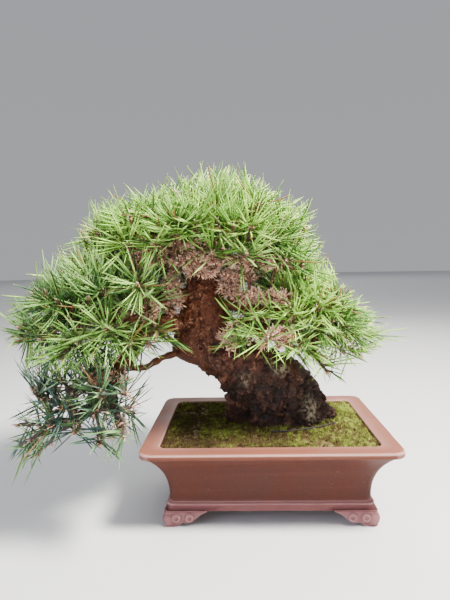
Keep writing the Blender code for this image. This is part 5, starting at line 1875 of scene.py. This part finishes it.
TWIG_CROOKED = (60, 0.0012)
TWIG_POINTS = 8
TWIG_KNOBS_OFTEN = 260
SOLID_TWIG_RADIUS = 0.0034
ADDED_TWIG_RADIUS = 0.0026
TIP_RADIUS = 0.0022
# Twigs of shoots, then bare spurs: sides, knobs, sheaths and where along the twig the sheaths start
TWIG_FORM = (8, 0.0007, 22, 0.35)
SPUR_FORM = (6, 0.0008, 20, 0.30)
SPUR_RADII = (0.0018, 0.0028)
SPUR_TIP_RADII = (0.0014, 0.0022)
SPUR_TURN = Vector((0, -0.5, 0.4))
SPUR_STRAY = 0.5
SPUR_CROWD = 0.4
SHOOT_BUDS = 5
SPUR_BUDS = (2, 4, 6)
SHEATHS_TO = 0.98
SHEATH_LEANS = (0.4, 1.4)
SHEATH_OUT = 0.7
SHEATH_LENGTHS = (0.0030, 0.0110)
SHEATH_WIDTHS = (0.0006, 0.0010)
BUD_LENGTHS = (0.0065, 0.0105)
BUD_WIDTH = 0.0021
BUD_SUNK = 0.0015
BUD_LEANS = (0.5, 1.0)
SIDE_BUD_LENGTHS = (0.0040, 0.0085)
SIDE_BUD_WIDTH = 0.0012
# A scale's thickness across and at its tip, where the tip starts, and how it is drawn out
SCALE_FLAT = 0.7
SCALE_TIP = 0.8
SCALE_TIP_FROM = 0.2
SCALE_DRAWN = 1.3


def spurs():
    """Place, direction and twig of every bare spur."""
    draw = random.Random(FINE_SEED + 4)
    found = []
    for middle, sizes, count, names in SPURS:
        carriers = carrier_points(names)
        for _ in range(count):
            ball = Vector(draw.gauss(0, 1) for _ in range(3)).normalized() * draw.random() ** SPUR_CROWD
            place = Vector(middle) + scaled(ball, sizes)
            facing = (ball + SPUR_TURN + stray(draw, SPUR_STRAY)).normalized()
            found.append((place, facing, twig_points(place, facing, carriers, FINE_TWIG_STEPS)))
            carriers.append(place - facing * SPUR_REACH)
    return found


def small_scale(bm, root, along, length, width, sides=4):
    """A small scale or bud, pointed at both ends, with an attribute that runs from its root to its tip."""
    small = bmesh.new()
    share = float_layer(small, "along")
    bmesh.ops.create_uvsphere(small, u_segments=sides, v_segments=3 if sides > 4 else 2, radius=1)
    for vert in small.verts:
        vert[share] = 0.5 + 0.5 * vert.co.z
        thick = width * (1.0 if vert.co.z < SCALE_TIP_FROM else SCALE_TIP)
        vert.co = (vert.co.x * thick, vert.co.y * thick * SCALE_FLAT, length * vert[share] ** SCALE_DRAWN)
    bmesh.ops.transform(small, verts=small.verts, matrix=Matrix.Translation(root) @ turned_to(along))
    join(bm, small)


TWIG_LOW = ((0.030, 0.024, 0.022), (0.150, 0.110, 0.092))
TWIG_HIGH = ((0.060, 0.026, 0.016), (0.250, 0.105, 0.058))
BUD_TIP = (0.95, 0.70, 0.52)


def twig_finish():
    finish = Finish("twig_bark", 0.8)
    grain = finish.noise(330, 3, 0.6)
    patches = finish.between(finish.noise(40, 2), 0.3, 0.7, -0.2, 0.2)
    high = finish.add(finish.between(finish.axes["Z"], 0.16, 0.22), patches)
    finish.base = finish.mix(high, finish.mix(grain, *TWIG_LOW), finish.mix(grain, *TWIG_HIGH))
    return finish.done(grain, 0.0012, 0.8)


def bud_finish(colours):
    finish = Finish("buds", 0.6)
    grain = finish.noise(240, 3, 0.6)
    finish.base = finish.mix(finish.between(grain, 0.38, 0.60), shaded(colours.bud, 0.15), colours.bud)
    finish.coat(BUD_TIP, finish.between(finish.attribute("along"), 0.40, 0.95, 0.0, 0.80))
    return finish.done(grain, 0.0006, 0.6)


class BONSAI_OT_twigs(Operator):
    """Make the twigs with their old sheaths, and the buds at the shoots' tips"""
    bl_idname = "bonsai.twigs"
    bl_label = "Twigs and buds"

    def execute(self, context):
        needle_length = context.scene.bonsai_sizes.needle_length
        draw = random.Random(FINE_SEED + 3)
        twigs = bmesh.new()
        scales = bmesh.new()
        float_layer(scales, "along")
        for _, place, facing, route, number in fine_shoots(needle_length):
            root = SOLID_TWIG_RADIUS if number else ADDED_TWIG_RADIUS
            line, radii = self.crooked(place, route, root, TIP_RADIUS)
            line += [place + facing * SHOOT_LENGTH * share for share in (0.5, 1.0)]
            radii += [TIP_RADIUS, TIP_RADIUS * 0.8]
            self.dress(twigs, scales, line, radii, TWIG_FORM, draw)
            self.buds(scales, place + facing * SHOOT_LENGTH, facing, SHOOT_BUDS, draw)
        for place, facing, route in spurs():
            root, tip = draw.uniform(*SPUR_RADII), draw.uniform(*SPUR_TIP_RADII)
            line, radii = self.crooked(place, route, root, tip)
            self.dress(twigs, scales, line, radii, SPUR_FORM, draw)
            self.buds(scales, place, facing, draw.choice(SPUR_BUDS), draw)
        wood = finish_piece("twigs", twigs, twig_finish())
        brown = finish_piece("buds_and_sheaths", scales, bud_finish(context.scene.bonsai_colours))
        return {"FINISHED"}

    def crooked(self, place, route, root, tip):
        """A slightly crooked line along a twig's route to its shoot, with a radius at each point."""
        last = TWIG_POINTS - 1
        line = [spline(route, (len(route) - 1) * k / last) for k in range(TWIG_POINTS)]
        often, reach = TWIG_CROOKED
        line[1:] = [point + noise.noise_vector(point * often) * reach for point in line[1:-1]] + [place]
        return line, tapered(root, tip, len(line))

    def dress(self, twigs, scales, line, radii, form, draw):
        """A twig with its old sheaths: short pointed scales that stand out from it."""
        sides, knobs, count, first = form
        join(twigs, tube(line, radii, sides, knobs, TWIG_KNOBS_OFTEN))
        last = len(line) - 1
        frames = frame_along(line)
        for _ in range(count):
            at = draw.uniform(first * last, SHEATHS_TO * last)
            k = min(int(at), last - 1)
            point = line[k].lerp(line[k + 1], at - k)
            ahead = (line[k + 1] - line[k]).normalized()
            outward = around(*frames[k], draw.uniform(0, FULL_TURN))
            along = (outward + ahead * draw.uniform(*SHEATH_LEANS)).normalized()
            length = draw.uniform(*SHEATH_LENGTHS)
            foot = point + outward * radii[k] * SHEATH_OUT
            small_scale(scales, foot, along, length, draw.uniform(*SHEATH_WIDTHS))

    def buds(self, scales, tip, facing, count, draw):
        """A bud at a tip, with smaller ones around it."""
        side, rise = frame_along([tip, tip + facing])[0]
        small_scale(scales, tip - facing * BUD_SUNK, facing, draw.uniform(*BUD_LENGTHS), BUD_WIDTH, 6)
        for _ in range(count - 1):
            outward = around(side, rise, draw.uniform(0, FULL_TURN))
            along = (facing + outward * draw.uniform(*BUD_LEANS)).normalized()
            foot = tip + outward * SIDE_BUD_WIDTH - along * BUD_SUNK
            small_scale(scales, foot, along, draw.uniform(*SIDE_BUD_LENGTHS), SIDE_BUD_WIDTH)


# Stage

CAMERA_PLACE = Vector((-0.0305, -0.5871, 0.3093))
CAMERA_YAW = math.radians(-1.964)
CAMERA_PITCH = math.radians(-4.692)
CAMERA_ROLL = math.radians(-1.291)
CAMERA_LENS = 26.907
CAMERA_SENSOR = 36
CAMERA_NEAREST = 0.01
# Lights: place, size, power and colour
LIGHTS = (
    ("key", (0.62, -0.40, 1.45), 0.34, 122.0, (1.0, 0.97, 0.92)),
    ("fill", (-1.3, -1.0, 0.75), 1.0, 15.0, (0.74, 0.82, 1.0)),
    ("front", (0.15, -1.7, 0.30), 1.0, 5.5, (0.96, 0.97, 1.0)),
    ("far", (0.0, 7.0, 4.5), 5.0, 110.0, (1.0, 1.0, 1.0)),
    ("back", (0.2, 1.3, 1.2), 1.0, 16.0, (1.0, 0.98, 0.96)),
)
LIGHTS_AIM = (-0.06, 0, 0.22)
# The sky's light at the horizon and overhead
SKY_LOW = (0.42, 0.43, 0.44)
SKY_HIGH = (0.36, 0.38, 0.42)
FLOOR_RADIUS = 12
FLOOR_SIDES = 96


class BONSAI_OT_stage(Operator):
    """Make the pale floor, the soft lights and the camera at the photograph's angle"""
    bl_idname = "bonsai.stage"
    bl_label = "Stage"

    def execute(self, context):
        scene = context.scene
        bm = bmesh.new()
        bmesh.ops.create_circle(bm, cap_ends=True, segments=FLOOR_SIDES, radius=FLOOR_RADIUS)
        floor = new_object("floor", to_mesh(bm, "floor"))
        finish = Finish("pale_floor", 0.7)
        finish.shader.inputs["Base Color"].default_value = scene.bonsai_colours.floor
        floor.data.materials.append(finish.material)
        world = bpy.data.worlds.new("studio")
        world.use_nodes = True
        sky = Nodes(world.node_tree)
        direction = sky.node("TexCoord").outputs["Generated"]
        rise = sky.between(sky.node("SeparateXYZ", {0: direction}).outputs["Z"], 0, 1)
        sky.tree.links.new(sky.mix(rise, SKY_LOW, SKY_HIGH), sky.tree.nodes["Background"].inputs["Color"])
        scene.world = world
        target = POT_CENTRE + Vector(LIGHTS_AIM)
        for name, place, size, power, colour in LIGHTS:
            lamp = bpy.data.lights.new(name, "AREA")
            lamp.size = size
            lamp.energy = power
            lamp.color = colour
            holder = new_object(name, lamp)
            holder.location = POT_CENTRE + Vector(place)
            holder.rotation_euler = (holder.location - target).to_track_quat("Z", "Y").to_euler()
        self.camera(scene)
        return {"FINISHED"}

    def camera(self, scene):
        forward = Vector((
            math.sin(CAMERA_YAW) * math.cos(CAMERA_PITCH), math.cos(CAMERA_YAW) * math.cos(CAMERA_PITCH),
            math.sin(CAMERA_PITCH)))
        level = forward.cross(UP).normalized()
        rise = level.cross(forward)
        right = around(level, rise, CAMERA_ROLL)
        up = around(rise, -level, CAMERA_ROLL)
        camera = bpy.data.cameras.new("camera")
        camera.lens = CAMERA_LENS
        camera.sensor_width = CAMERA_SENSOR
        camera.clip_start = CAMERA_NEAREST
        holder = new_object("camera", camera)
        turn = Matrix((right, up, -forward)).transposed().to_4x4()
        holder.matrix_world = Matrix.Translation(CAMERA_PLACE + POT_CENTRE) @ turn
        scene.camera = holder


class BONSAI_PT_panel(Panel):
    """Sizes, colours and the steps that make the bonsai"""
    bl_idname = "BONSAI_PT_panel"
    bl_label = "Black pine bonsai"
    bl_space_type = "VIEW_3D"
    bl_region_type = "UI"
    bl_category = "Bonsai"

    def draw(self, context):
        for group in (context.scene.bonsai_sizes, context.scene.bonsai_colours):
            column = self.layout.column(align=True)
            for name in group.__annotations__:
                column.prop(group, name)
        for step in STEPS:
            self.layout.operator(step.bl_idname)


STEPS = (
    BONSAI_OT_stage, BONSAI_OT_pot, BONSAI_OT_ground, BONSAI_OT_moss, BONSAI_OT_wood, BONSAI_OT_needles,
    BONSAI_OT_twigs,
)
CLASSES = (BonsaiSizes, BonsaiColours, *STEPS, BONSAI_PT_panel)


def register():
    for kind in CLASSES:
        bpy.utils.register_class(kind)
    bpy.types.Scene.bonsai_sizes = PointerProperty(type=BonsaiSizes)
    bpy.types.Scene.bonsai_colours = PointerProperty(type=BonsaiColours)


def unregister():
    del bpy.types.Scene.bonsai_sizes
    del bpy.types.Scene.bonsai_colours
    for kind in reversed(CLASSES):
        bpy.utils.unregister_class(kind)


def main():
    register()
    bpy.ops.bonsai.stage()
    bpy.ops.bonsai.pot()
    bpy.ops.bonsai.ground()
    bpy.ops.bonsai.moss()
    bpy.ops.bonsai.wood()
    bpy.ops.bonsai.needles()
    bpy.ops.bonsai.twigs()


if __name__ == "__main__":
    main()
